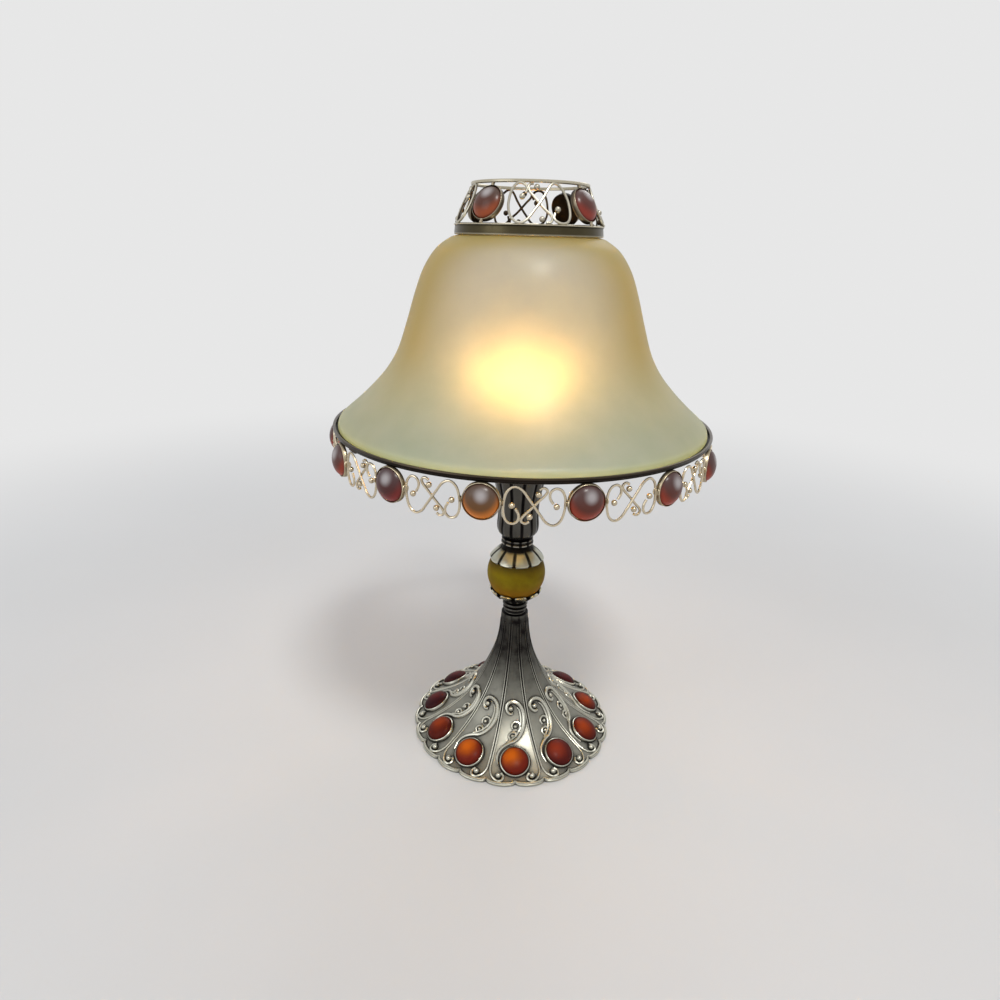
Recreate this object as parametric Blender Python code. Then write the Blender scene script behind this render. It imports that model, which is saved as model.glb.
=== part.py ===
"""Candle lamp: cast petal foot, turned stem with a glass bead, a spider that carries
a ring hung with stones and scrolled wire, a bell shade of frosted glass and a small open crown.

Metres, +Z up. The origin is the middle of the foot's underside and the lamp faces -Y.
Angles run from -Y towards +X.
"""

import math

import bmesh
import bpy
from mathutils import Matrix, Vector

# Clearances and overruns
seat_gap = 0.0003
rod_clearance = 0.0004
socket_clearance = 0.0005
cut_overrun = 0.001
solder_overlap = 0.0002
weld_distance = 0.000002

# Foot casting
petal_count = 11
foot_radius = 0.055
foot_height = 0.0705
foot_neck_radius = 0.0071
foot_rim_thickness = 0.0016
foot_rim_land = 0.0045
foot_wall = 0.0024
foot_cavity_height = 0.038
scallop_depth = 0.0018
divider_width = 0.0014
divider_height = 0.0008
petal_hollow = 0.0005
foot_profile_shares = (
    (1.0, 0.0), (0.850, 0.040), (0.680, 0.104), (0.500, 0.194), (0.340, 0.314), (0.210, 0.446),
    (0.110, 0.600), (0.038, 0.780), (0.0, 1.0),
)
petal_place_shares = (0.16, 0.35, 0.5, 0.65, 0.84)

# Stones set in the foot, one to a petal
foot_stone_inset = 0.0118
foot_stone_radius = 0.0071
foot_stone_thickness = 0.0038
foot_bezel_wall = 0.0007
foot_bezel_height = 0.0026
foot_bezel_floor = 0.0010
foot_bezel_root = 0.0022

# Turned collar between the foot and the bead
collar_height = 0.0065
collar_radius = 0.0067
collar_profile_shares = (
    (0.84, 0.00), (0.82, 0.22), (0.96, 0.38), (0.96, 0.50), (0.84, 0.60), (1.00, 0.74), (1.00, 0.86), (0.88, 1.00),
)

# Glass bead, the ruffled dish below it and the petal cap above it
bead_radius = 0.0155
cup_wall = 0.0008
dish_flare = 0.0016
dish_rim_height = 0.0070
dish_ruffle = 0.0006
dish_ruffle_count = 10
cap_flare = 0.0024
cap_rim_drop = 0.0070
cap_lobe = 0.0005
cap_petal_count = 10
cap_crown_radius = 0.0073

# Fluted vase that carries the candle cup
vase_height = 0.0494
vase_rim_radius = 0.0190
vase_flute_count = 12
vase_flute_depth = 0.0006
vase_profile_shares = (
    (0.295, 0.000, 0), (0.295, 0.026), (0.415, 0.040), (0.415, 0.062), (0.340, 0.078), (0.465, 0.100, 1),
    (0.565, 0.150, 1), (0.568, 0.205, 1), (0.550, 0.385, 1), (0.630, 0.610, 1), (0.745, 0.770, 1),
    (0.920, 0.945, 0), (1.000, 1.000, 0),
)

# Tie rod and its nut
rod_radius = 0.0024
rod_tail = 0.0090
rod_socket_depth = 0.0055
nut_across_flats = 0.0080
nut_height = 0.0040

# Spider: a hub with three arms under the shade ring
arm_count = 3
arm_width = 0.0070
arm_thickness = 0.0020
hub_thickness = 0.0025
arm_rise_shares = ((0.16, 0.0), (0.34, 0.02), (0.58, 0.24), (0.76, 0.60), (0.87, 0.92), (0.93, 1.0), (1.0, 1.0))

# Shade ring, called the gallery
gallery_clearance = 0.0007
gallery_height = 0.0034
gallery_wall = 0.0012
gallery_seat_width = 0.0058
gallery_seat_thickness = 0.0010
gallery_lift = 0.0134

# Fringe of stones and wire scrolls below the gallery
fringe_count = 14
fringe_stone_radius = 0.0068
fringe_stone_thickness = 0.0048
bezel_wall = 0.0005
bezel_depth = 0.0028
wire_radius = 0.00055
ball_radius = 0.00115
scroll_half_height = 0.0080
wire_cross_offset = 0.00030
loop_wire_shares = (
    (0.000, 0.00), (0.340, -0.78), (0.580, -0.98), (0.870, -0.62), (1.000, -0.02), (0.900, 0.68),
    (0.690, 0.90), (0.480, 0.62), (0.540, 0.22),
)
cross_wire_shares = ((0.000, 0.00), (0.360, 0.42), (0.450, 0.78), (0.280, 0.96), (0.170, 0.76))

# Candle cup
tealight_radius = 0.0190
tealight_clearance = 0.0012
candle_cup_wall = 0.0010
candle_cup_floor = 0.0015
candle_cup_depth = 0.0120
candle_cup_boss_radius = 0.0060
candle_cup_boss_length = 0.0062

# Tealight
tealight_height = 0.0160
tealight_wall = 0.0003
wax_drop = 0.0024
wick_radius = 0.0007
wick_length = 0.0080
wick_base_radius = 0.0045
wick_base_thickness = 0.0004

# Glass shade
shade_lip_radius = 0.0879
shade_height = 0.0845
shade_wall = 0.0030
shade_neck_radius = 0.0307
shade_neck_height = 0.0036
shade_profile_shares = (
    (0.988, 0.000), (1.000, 0.008), (0.998, 0.020), (0.965, 0.060), (0.900, 0.118), (0.818, 0.200),
    (0.734, 0.300), (0.672, 0.410), (0.622, 0.560), (0.575, 0.720), (0.530, 0.840), (0.468, 0.935),
    (0.395, 0.990),
)

# Crown on the shade's neck
crown_clearance = 0.0005
crown_band_wall = 0.0020
crown_flange_thickness = 0.0011
crown_ring_radius = 0.0259
crown_ring_width = 0.0016
crown_ring_height = 0.0013
crown_height = 0.0214
crown_stone_count = 4
crown_turn = math.radians(4)
crown_stone_radius = 0.0068
crown_stone_thickness = 0.0044
crown_scroll_half_width = 0.0125

# Facets
round_steps = 28
medium_steps = 24
small_steps = 16
stone_steps = 10
wire_sides = 4

# Radii that follow the piece inside or beside them
foot_stone_circle = foot_radius - foot_stone_inset
gallery_radius = shade_lip_radius + gallery_clearance + gallery_wall
crown_band_radius = shade_neck_radius + crown_clearance + crown_band_wall
bore_radius = rod_radius + rod_clearance
candle_cup_inner = tealight_radius + tealight_clearance

# Heights of the stacked pieces, from the table up
collar_base = foot_height + seat_gap
dish_base = collar_base + collar_height + seat_gap
bead_centre = dish_base + cup_wall + seat_gap + bead_radius
cap_top = bead_centre + bead_radius + seat_gap + cup_wall
vase_base = cap_top + seat_gap
hub_base = vase_base + vase_height + seat_gap
candle_cup_base = hub_base + hub_thickness + seat_gap
candle_cup_inside = candle_cup_base + candle_cup_floor
gallery_base = hub_base + gallery_lift
gallery_seat = gallery_base + gallery_seat_thickness
shade_base = gallery_seat + seat_gap
shade_shoulder = shade_base + shade_height
shade_top = shade_shoulder + shade_neck_height
crown_base = shade_shoulder + seat_gap
crown_band_top = shade_top + seat_gap + crown_flange_thickness
crown_ring_base = crown_base + crown_height - crown_ring_height
tealight_base = candle_cup_inside + seat_gap


def remove_old_objects():
    for item in list(bpy.data.objects):
        bpy.data.objects.remove(item, do_unlink=True)


def finish(name, colour, roughness, metallic, alpha=1.0):
    """A Principled finish, made once and shared by name."""
    found = bpy.data.materials.get(name)
    if found:
        return found
    made = bpy.data.materials.new(name)
    made.use_nodes = True
    shader = made.node_tree.nodes["Principled BSDF"]
    shader.inputs["Base Color"].default_value = (*colour, 1.0)
    shader.inputs["Roughness"].default_value = roughness
    shader.inputs["Metallic"].default_value = metallic
    shader.inputs["Alpha"].default_value = alpha
    return made


def pewter():
    return finish("antique_pewter", (0.42, 0.39, 0.32), 0.38, 1.0)


def bronze():
    return finish("dark_bronze", (0.13, 0.10, 0.07), 0.42, 1.0)


def scroll_wire():
    return finish("scroll_wire", (0.62, 0.52, 0.36), 0.32, 1.0)


def place_on_ring(radius, angle, height):
    return Vector((radius * math.sin(angle), -radius * math.cos(angle), height))


def facing_frame(radius, angle, height, lean=0.0):
    """Local Z points outwards, tilted up by lean; local Y points up along the surface."""
    outward = Vector((math.sin(angle), -math.cos(angle), 0))
    up = Vector((0, 0, 1))
    normal = outward * math.cos(lean) + up * math.sin(lean)
    rise = up * math.cos(lean) - outward * math.sin(lean)
    side = rise.cross(normal)
    turn = Matrix((side, rise, normal)).transposed().to_4x4()
    return Matrix.Translation(place_on_ring(radius, angle, height)) @ turn


def skin(rings, looped=False):
    """Closed mesh through rings of points; a looped one runs back to its first ring."""
    bm = bmesh.new()
    rows = [[bm.verts.new(point) for point in ring] for ring in rings]
    pairs = list(zip(rows, rows[1:]))
    if looped:
        pairs.append((rows[-1], rows[0]))
    else:
        bm.faces.new(rows[0])
        bm.faces.new(rows[-1])
    for low, high in pairs:
        for a in range(len(low)):
            b = (a + 1) % len(low)
            bm.faces.new((low[a], low[b], high[b], high[a]))
    bmesh.ops.recalc_face_normals(bm, faces=bm.faces)
    mesh = bpy.data.meshes.new("solid")
    bm.to_mesh(mesh)
    bm.free()
    return mesh


def turned(outline, steps, looped=False, waves=0, wave_depth=0.0):
    """Turned mesh from (radius, height) or (radius, height, wave share) points."""
    rings = []
    for radius, height, *wave in outline:
        swing = wave_depth * (wave[0] if wave else 0)
        ring = []
        for step in range(steps):
            angle = math.tau * step / steps
            ring.append(place_on_ring(radius + swing * math.cos(waves * angle), angle, height))
        rings.append(ring)
    return skin(rings, looped)


def tube(path, radius, bead=0.0):
    """Bar along a path, with flat ends or with a bead of its own radius on each end."""
    stations = [(point, radius) for point in path]
    if bead:
        for end, before, put in ((path[0], path[1], 0), (path[-1], path[-2], None)):
            beyond = (end - before).normalized() * bead
            near = (end + beyond / 3, bead)
            far = (end + beyond * 4 / 3, bead)
            stations = [far, near] + stations if put == 0 else stations + [near, far]
    rings = []
    across = None
    for index, (point, reach) in enumerate(stations):
        ahead = stations[min(index + 1, len(stations) - 1)][0] - stations[max(index - 1, 0)][0]
        ahead.normalize()
        if across is None:
            across = ahead.orthogonal().normalized()
        across = (across - ahead * across.dot(ahead)).normalized()
        other = ahead.cross(across)
        ring = []
        for side in range(wire_sides):
            turn = math.tau * (side + 0.5) / wire_sides
            ring.append(point + (across * math.cos(turn) + other * math.sin(turn)) * reach)
        rings.append(ring)
    return skin(rings)


def moved(mesh, matrix):
    """A copy of a mesh, carried to a new place."""
    copy = mesh.copy()
    copy.transform(matrix)
    return copy


def gathered(meshes):
    """Several solids that stay apart, held in one mesh."""
    bm = bmesh.new()
    for mesh in meshes:
        bm.from_mesh(mesh)
    joined = bpy.data.meshes.new("group")
    bm.to_mesh(joined)
    bm.free()
    return joined


def combined(base, additions=(), cuts=()):
    """One mesh from a base with other solids fused to it and then cut out of it."""
    body = bpy.data.objects.new("body", base)
    bpy.context.collection.objects.link(body)
    tools = []
    for operation, meshes in (("UNION", additions), ("DIFFERENCE", cuts)):
        for mesh in meshes:
            cutter = bpy.data.objects.new("cutter", mesh)
            cutter.hide_render = True
            cutter.display_type = "WIRE"
            bpy.context.collection.objects.link(cutter)
            boolean = body.modifiers.new(operation.lower(), "BOOLEAN")
            boolean.operation = operation
            boolean.solver = "EXACT"
            boolean.object = cutter
            tools.append(cutter)
    bpy.context.view_layer.update()
    graph = bpy.context.evaluated_depsgraph_get()
    result = bpy.data.meshes.new_from_object(body.evaluated_get(graph))
    for item in (body, *tools):
        bpy.data.objects.remove(item, do_unlink=True)
    bm = bmesh.new()
    bm.from_mesh(result)
    bmesh.ops.remove_doubles(bm, verts=bm.verts, dist=weld_distance)
    bm.to_mesh(result)
    bm.free()
    return result


def add_piece(name, mesh, material, smooth_angle=math.radians(40), turn=0.0):
    """One named piece of the lamp, turned about the lamp's axis."""
    piece = bpy.data.objects.new(name, mesh)
    bpy.context.collection.objects.link(piece)
    if not mesh.materials:
        mesh.materials.append(material)
    else:
        mesh.materials[0] = material
    mesh.shade_smooth()
    mesh.set_sharp_from_angle(angle=smooth_angle)
    piece.rotation_euler = (0, 0, turn)
    return piece


def foot_profile():
    """(radius, height) points up the outside of the foot."""
    width = foot_radius - foot_neck_radius
    rise = foot_height - foot_rim_thickness
    return [(foot_neck_radius + width * out, foot_rim_thickness + rise * up) for out, up in foot_profile_shares]


def foot_surface(radius):
    """Height and upward lean of the foot's outside at a radius."""
    profile = foot_profile()
    for (outer, low), (inner, high) in zip(profile, profile[1:]):
        if inner <= radius <= outer:
            share = (outer - radius) / (outer - inner)
            return low + (high - low) * share, math.atan2(outer - inner, high - low)
    return profile[0][1], math.pi / 2


def foot_shell():
    """The petal skin, solid: rows of points across the dividers and petals, rim to neck."""
    pitch = math.tau / petal_count
    profile = foot_profile()
    rings = []
    for row, (radius, height) in enumerate(profile):
        at_rim = row == 0
        lean = foot_surface(radius)[1]
        ridge_half = divider_width / (2 * radius * pitch)
        depth_share = (radius - foot_neck_radius) / (foot_radius - foot_neck_radius)
        ring = []
        for petal in range(petal_count):
            places = [(0.0, divider_height), (ridge_half, 0.0)]
            places += [(share, -petal_hollow * depth_share * math.sin(math.pi * share))
                       for share in petal_place_shares]
            places.append((1 - ridge_half, 0.0))
            for share, lift in places:
                notch = scallop_depth * (1 - math.sqrt(abs(math.sin(math.tau * share)))) if at_rim else 0
                lift = 0 if at_rim else lift
                out = radius - notch + lift * math.cos(lean)
                up = height + lift * math.sin(lean)
                ring.append(place_on_ring(out, pitch * (petal + share - 0.5), up))
        if at_rim:
            rings.append([Vector((point.x, point.y, 0)) for point in ring])
        rings.append(ring)
    return skin(rings)


def foot_cavity():
    """The hollow under the foot, one wall in from the petals."""
    mouth = foot_radius - foot_rim_land
    outline = [(bore_radius / 2, -cut_overrun), (mouth, -cut_overrun)]
    last = (mouth, 0)
    for radius, height in foot_profile()[1:]:
        lean = foot_surface(radius)[1]
        inner = radius - foot_wall * math.cos(lean)
        level = height - foot_wall * math.sin(lean)
        if level >= foot_cavity_height:
            share = (foot_cavity_height - last[1]) / (level - last[1])
            outline.append((last[0] + (inner - last[0]) * share, foot_cavity_height))
            break
        if level > 0:
            outline.append((inner, level))
            last = (inner, level)
    outline.append((bore_radius / 2, foot_cavity_height))
    return turned(outline, medium_steps)


def stone_mesh(radius, height):
    """A cabochon: flat back at local Z zero and a round dome."""
    outline = [(radius, 0)]
    for angle in (math.radians(35), math.radians(68)):
        outline.append((radius * math.cos(angle), height * math.sin(angle)))
    return turned(outline, stone_steps)


def foot_bezel():
    """A raised cup for one stone, rooted in the casting."""
    inner = foot_stone_radius + seat_gap
    outer = inner + foot_bezel_wall
    return turned([
        (outer, -foot_bezel_root), (outer, foot_bezel_height), (inner, foot_bezel_height),
        (inner, foot_bezel_floor),
    ], stone_steps)


def build_foot():
    seat_height, seat_lean = foot_surface(foot_stone_circle)
    bezels = []
    for petal in range(petal_count):
        angle = math.tau * petal / petal_count
        seat = facing_frame(foot_stone_circle, angle, seat_height, seat_lean)
        bezels.append(moved(foot_bezel(), seat))
        stone = moved(stone_mesh(foot_stone_radius, foot_stone_thickness),
                      Matrix.Translation((0, 0, foot_bezel_floor + seat_gap)))
        piece = add_piece(f"foot_stone_{petal + 1:02d}", stone,
                          finish("foot_stone", (0.55, 0.10, 0.02), 0.45, 0.0))
        piece.matrix_world = seat
    bore = turned([(bore_radius, foot_cavity_height - cut_overrun), (bore_radius, foot_height + cut_overrun)],
                  small_steps)
    mesh = combined(foot_shell(),
                    additions=[gathered(bezels)],
                    cuts=[foot_cavity(), bore])
    add_piece("foot_casting", mesh, pewter(), math.radians(28))


def build_collar():
    outline = [(collar_radius * out, collar_base + collar_height * up) for out, up in collar_profile_shares]
    outline += [(bore_radius, collar_base + collar_height), (bore_radius, collar_base)]
    add_piece("neck_collar", turned(outline, small_steps, looped=True), bronze())


def sphere_arc(radius, start, end, count):
    """(radius, height) points round a ball centred at the bead, from start to end angle above its middle."""
    points = []
    for step in range(count + 1):
        angle = start + (end - start) * step / count
        points.append((radius * math.cos(angle), bead_centre + radius * math.sin(angle)))
    return points


def bead_radius_at(height):
    """Radius of the bead where a level cuts it."""
    return math.sqrt(bead_radius ** 2 - (height - bead_centre) ** 2)


def build_bead():
    pole = math.acos(bore_radius / bead_radius)
    add_piece("glass_bead", turned(sphere_arc(bead_radius, -pole, pole, 9), small_steps, looped=True),
              finish("amber_glass", (0.50, 0.34, 0.07), 0.4, 0.0))


def build_bead_dish():
    """A ruffled saucer: its floor follows the bead and its rim flares clear of it."""
    inner = bead_radius + seat_gap
    pole = math.acos(bore_radius / inner)
    inside = sphere_arc(inner, -pole, -math.radians(52), 3)
    outside = sphere_arc(inner + cup_wall, -math.radians(52), -math.radians(66), 1)
    rim = dish_base + dish_rim_height
    rim_radius = bead_radius_at(rim) + dish_flare
    outline = inside + [
        (rim_radius, rim + cup_wall, 1), (rim_radius + cup_wall, rim, 1),
        *outside, (bore_radius + rod_radius, dish_base), (bore_radius, dish_base),
    ]
    steps = 2 * dish_ruffle_count
    add_piece("bead_dish", turned(outline, steps, True, dish_ruffle_count, dish_ruffle), pewter())


def build_petal_cap():
    """Ten petals over the bead: the skirt flares to a lobed edge."""
    inner = bead_radius + seat_gap
    pole = math.acos(bore_radius / inner)
    inside = sphere_arc(inner, pole, math.radians(50), 3)
    rim = cap_top - cap_rim_drop
    rim_radius = bead_radius_at(rim) + cap_flare
    outline = inside + [
        (rim_radius, rim - cup_wall, 1), (rim_radius + cup_wall, rim, 1),
        ((rim_radius + cap_crown_radius) / 2 + cup_wall, (rim + cap_top) / 2 + cup_wall, 1),
        (cap_crown_radius, cap_top), (bore_radius, cap_top),
    ]
    steps = 2 * cap_petal_count
    add_piece("petal_cap", turned(outline, steps, True, cap_petal_count, cap_lobe), pewter())


def build_vase():
    boss_hole = candle_cup_boss_radius + socket_clearance
    top = vase_base + vase_height
    hole_floor = candle_cup_base - candle_cup_boss_length - seat_gap
    outline = []
    for out, up, *wave in vase_profile_shares:
        outline.append((vase_rim_radius * out, vase_base + vase_height * up, *wave))
    outline += [(boss_hole, top), (boss_hole, hole_floor), (bore_radius, hole_floor), (bore_radius, vase_base)]
    steps = 2 * vase_flute_count
    add_piece("fluted_vase", turned(outline, steps, True, vase_flute_count, vase_flute_depth), bronze())


def build_rod_and_nut():
    nut_top = foot_cavity_height - seat_gap
    rod_foot = nut_top - rod_tail
    rod_top = candle_cup_base - candle_cup_boss_length + rod_socket_depth - seat_gap
    add_piece("tie_rod", turned([(rod_radius, rod_foot), (rod_radius, rod_top)], small_steps),
              finish("rod_steel", (0.35, 0.34, 0.33), 0.4, 1.0))
    corner = nut_across_flats / math.sqrt(3)
    hexagon = turned([(corner, nut_top - nut_height), (corner, nut_top)], 6)
    bore = turned([(bore_radius, nut_top - nut_height - cut_overrun), (bore_radius, nut_top + cut_overrun)],
                  small_steps)
    add_piece("rod_nut", combined(hexagon, cuts=[bore]), finish("rod_steel", (0.35, 0.34, 0.33), 0.4, 1.0))


def build_spider():
    """Hub and arms; each arm runs out level, then rises to the underside of the ring's seat."""
    hub_hole = candle_cup_boss_radius + socket_clearance
    hub_top = hub_base + hub_thickness
    hub = turned([(hub_hole, hub_base), (vase_rim_radius, hub_base), (vase_rim_radius, hub_top),
                  (hub_hole, hub_top)], medium_steps, looped=True)
    reach = gallery_radius - gallery_wall - bezel_depth / 2 - seat_gap
    low = hub_base + hub_thickness / 2
    rise = gallery_base - seat_gap - arm_thickness / 2 - low
    arms = []
    for arm in range(arm_count):
        angle = math.tau * (arm + 0.5) / arm_count
        side = Vector((math.cos(angle), math.sin(angle), 0)) * (arm_width / 2)
        path = [(reach * out, low + rise * up) for out, up in arm_rise_shares]
        rings = []
        for index, (radius, height) in enumerate(path):
            before = path[max(index - 1, 0)]
            after = path[min(index + 1, len(path) - 1)]
            slope = math.atan2(after[1] - before[1], after[0] - before[0])
            half = arm_thickness / 2
            under = place_on_ring(radius + half * math.sin(slope), angle, height - half * math.cos(slope))
            over = place_on_ring(radius - half * math.sin(slope), angle, height + half * math.cos(slope))
            rings.append([under - side, under + side, over + side, over - side])
        arms.append(skin(rings))
    add_piece("shade_spider", combined(hub, additions=[gathered(arms)]), bronze(), math.radians(30))


def hoop_mesh(stone_radius, depth):
    """An open bezel band round a stone, along local Z."""
    inner = stone_radius + seat_gap
    outer = inner + bezel_wall
    return turned([(outer, 0), (outer, depth), (inner, depth), (inner, 0)], stone_steps, looped=True)


def fringe_stone_level():
    bezel_radius = fringe_stone_radius + seat_gap + bezel_wall
    return gallery_base + solder_overlap - bezel_radius


def build_gallery():
    """The shade ring, an angle section with a seat for the glass, and the bezels soldered below it."""
    wall_inside = gallery_radius - gallery_wall
    seat_inside = wall_inside - gallery_seat_width
    top = gallery_base + gallery_height
    ring = turned([
        (seat_inside, gallery_base), (gallery_radius, gallery_base), (gallery_radius, top), (wall_inside, top),
        (wall_inside, gallery_seat), (seat_inside, gallery_seat),
    ], 2 * fringe_count, looped=True)
    bezels = []
    back = gallery_radius - gallery_wall
    for place in range(fringe_count):
        angle = math.tau * (place + 0.5) / fringe_count
        seat = facing_frame(back, angle, fringe_stone_level())
        bezels.append(moved(hoop_mesh(fringe_stone_radius, bezel_depth), seat))
        piece = add_piece(f"fringe_stone_{place + 1:02d}",
                          stone_mesh(fringe_stone_radius, fringe_stone_thickness),
                          finish("fringe_stone", (0.40, 0.13, 0.05), 0.4, 0.0))
        piece.matrix_world = seat
    add_piece("gallery_ring", combined(ring, additions=[gathered(bezels)]), bronze(), math.radians(30))


def scroll_meshes(radius, height, half_width, half_height, lean, hand, turn=0.0):
    """Two crossed S wires with beaded ends, bent round the lamp's axis."""

    def bend(side, up, offset):
        outward = radius - half_height * up * math.sin(lean) + offset
        return place_on_ring(outward, turn + hand * half_width * side / radius,
                             height + half_height * up * math.cos(lean))

    def both_halves(shares, offset):
        far = [bend(-side, -up, offset) for side, up in reversed(shares[1:])]
        return far + [bend(side, up, offset) for side, up in shares]

    loop = tube(both_halves(loop_wire_shares, wire_cross_offset), wire_radius, ball_radius)
    cross = tube(both_halves(cross_wire_shares, -wire_cross_offset), wire_radius, ball_radius)
    return loop, cross


def build_fringe_scrolls():
    pitch_half = math.pi * gallery_radius / fringe_count
    bezel_radius = fringe_stone_radius + seat_gap + bezel_wall
    half_width = pitch_half - bezel_radius - wire_radius - seat_gap
    half_height = scroll_half_height - wire_radius
    height = gallery_base - seat_gap - scroll_half_height
    wire_circle = gallery_radius - gallery_wall / 2
    meshes = {}
    for hand in (-1, 1):
        loop, cross = scroll_meshes(wire_circle, height, half_width, half_height, 0.0, hand)
        meshes[hand] = combined(loop, additions=[cross])
    for place in range(fringe_count):
        hand = 1 if place % 2 == 0 else -1
        add_piece(f"fringe_scroll_{place + 1:02d}", meshes[hand], scroll_wire(),
                  turn=math.tau * place / fringe_count)


def build_candle_cup():
    """Cup for the tealight, with a boss below that takes the tie rod."""
    inner = candle_cup_inner
    outer = inner + candle_cup_wall
    rim = candle_cup_inside + candle_cup_depth
    boss_foot = candle_cup_base - candle_cup_boss_length
    cup = turned([
        (candle_cup_boss_radius, boss_foot), (candle_cup_boss_radius, candle_cup_base),
        (outer - candle_cup_floor, candle_cup_base), (outer, candle_cup_inside), (outer, rim - candle_cup_wall),
        (outer + candle_cup_wall, rim), (inner, rim), (inner, candle_cup_inside),
    ], medium_steps)
    socket = turned([(rod_radius + seat_gap, boss_foot - cut_overrun),
                     (rod_radius + seat_gap, boss_foot + rod_socket_depth)], small_steps)
    add_piece("candle_cup", combined(cup, cuts=[socket]), bronze())


def build_tealight():
    """Metal shell, wax, and a wick held by its base plate."""
    top = tealight_base + tealight_height
    inside = tealight_radius - tealight_wall
    floor = tealight_base + tealight_wall
    shell = turned([
        (tealight_radius, tealight_base), (tealight_radius, top), (inside, top), (inside, floor),
    ], medium_steps)
    add_piece("tealight_shell", shell, finish("tealight_metal", (0.78, 0.78, 0.78), 0.3, 1.0))

    plate_low = floor + seat_gap
    plate_high = plate_low + wick_base_thickness
    wax_top = top - wax_drop
    wick_low = plate_high + seat_gap
    wax_radius = inside - seat_gap
    channel = wick_radius + seat_gap
    plate_room = wick_base_radius + seat_gap
    plate_roof = plate_high + seat_gap
    wax = turned([
        (plate_room, plate_low), (wax_radius, plate_low), (wax_radius, wax_top), (channel, wax_top),
        (channel, plate_roof), (plate_room, plate_roof),
    ], small_steps, looped=True)
    add_piece("wax_fill", wax, finish("candle_wax", (0.90, 0.86, 0.74), 0.4, 0.0))
    add_piece("wick_base", turned([(wick_base_radius, plate_low), (wick_base_radius, plate_high)], small_steps),
              finish("tealight_metal", (0.78, 0.78, 0.78), 0.3, 1.0))
    add_piece("wick", turned([(wick_radius, wick_low), (wick_radius, wax_top + wick_length)], stone_steps),
              finish("wick_cotton", (0.10, 0.08, 0.06), 0.9, 0.0))


def build_shade():
    """Bell of even wall from its turned lip to a short straight neck."""
    outside = [(shade_lip_radius * out, shade_base + shade_height * up) for out, up in shade_profile_shares]
    outside.append((shade_neck_radius + shade_wall / 2, shade_shoulder))
    outside.append((shade_neck_radius, shade_shoulder + seat_gap))
    outside.append((shade_neck_radius, shade_top))
    inside = [(shade_neck_radius - shade_wall, shade_top)]
    bell = outside[2:-2]
    for index in range(len(bell) - 1, -1, -2):
        before = bell[max(index - 1, 0)]
        after = bell[min(index + 1, len(bell) - 1)]
        slope = math.atan2(after[1] - before[1], before[0] - after[0])
        radius = bell[index][0] - shade_wall * math.sin(slope)
        height = bell[index][1] - shade_wall * math.cos(slope)
        inside.append((radius, max(height, shade_base + shade_wall / 2)))
    inside.append((shade_lip_radius - shade_wall, shade_base))
    add_piece("glass_shade", turned(outside + inside, round_steps, looped=True),
              finish("frosted_glass", (0.70, 0.70, 0.50), 0.5, 0.0, 0.8))


def build_crown():
    """Band and top ring joined by four bezels and four wire scrolls that lean inwards."""
    band_inside = crown_band_radius - crown_band_wall
    flange_inside = shade_neck_radius - shade_wall
    flange_base = crown_band_top - crown_flange_thickness
    band = turned([
        (band_inside, crown_base), (crown_band_radius, crown_base), (crown_band_radius, crown_band_top),
        (flange_inside, crown_band_top), (flange_inside, flange_base), (band_inside, flange_base),
    ], medium_steps, looped=True)
    ring_inside = crown_ring_radius - crown_ring_width
    ring_top = crown_ring_base + crown_ring_height
    top_ring = turned([
        (ring_inside, crown_ring_base), (crown_ring_radius, crown_ring_base), (crown_ring_radius, ring_top),
        (ring_inside, ring_top),
    ], medium_steps, looped=True)

    low_radius = crown_band_radius - wire_radius
    high_radius = crown_ring_radius - crown_ring_width / 2
    rise = crown_ring_base - crown_band_top
    lean = math.atan2(low_radius - high_radius, rise)
    middle = (low_radius + high_radius) / 2
    middle_height = (crown_ring_base + crown_band_top) / 2
    half_slant = math.hypot(low_radius - high_radius, rise) / 2
    bezel_radius = crown_stone_radius + seat_gap + bezel_wall

    hoops = []
    posts = []
    loops = []
    crosses = []
    for place in range(crown_stone_count):
        scroll_turn = crown_turn + math.tau * place / crown_stone_count
        stone_turn = scroll_turn + math.pi / crown_stone_count
        seat = facing_frame(middle, stone_turn, middle_height, lean)
        back = seat @ Matrix.Translation((0, 0, -bezel_depth / 2))
        hoops.append(moved(hoop_mesh(crown_stone_radius, bezel_depth), back))
        for end in (-1, 1):
            near = Vector((0, end * (bezel_radius - bezel_wall / 2), 0))
            far = Vector((0, end * (half_slant + crown_ring_height / 2), 0))
            posts.append(tube([seat @ near, seat @ far], wire_radius))
        hand = -1 if place % 2 == 0 else 1
        loop, cross = scroll_meshes(middle, middle_height, crown_scroll_half_width, half_slant,
                                    lean, hand, scroll_turn)
        loops.append(loop)
        crosses.append(cross)
        piece = add_piece(f"crown_stone_{place + 1:02d}",
                          stone_mesh(crown_stone_radius, crown_stone_thickness),
                          finish("crown_stone", (0.38, 0.10, 0.06), 0.4, 0.0))
        piece.matrix_world = back
    frame = combined(band, additions=[top_ring] + [gathered(group) for group in (hoops, posts, loops, crosses)])
    add_piece("crown_frame", frame, bronze(), math.radians(30))


remove_old_objects()
build_foot()
build_collar()
build_bead_dish()
build_bead()
build_petal_cap()
build_vase()
build_rod_and_nut()
build_spider()
build_gallery()
build_fringe_scrolls()
build_candle_cup()
build_tealight()
build_shade()
build_crown()
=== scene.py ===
"""Candle lamp with a bell shade of frosted glass: the looks of every piece, made round the fixed frame.

Metres, +Z up. The lamp stands on the origin and faces -Y. Angles run from -Y towards +X.
"""

from math import acos, atan2, cos, degrees, hypot, pi, radians, sin, sqrt, tau

import bmesh
import bpy
from mathutils import Matrix, Vector, geometry


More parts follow.
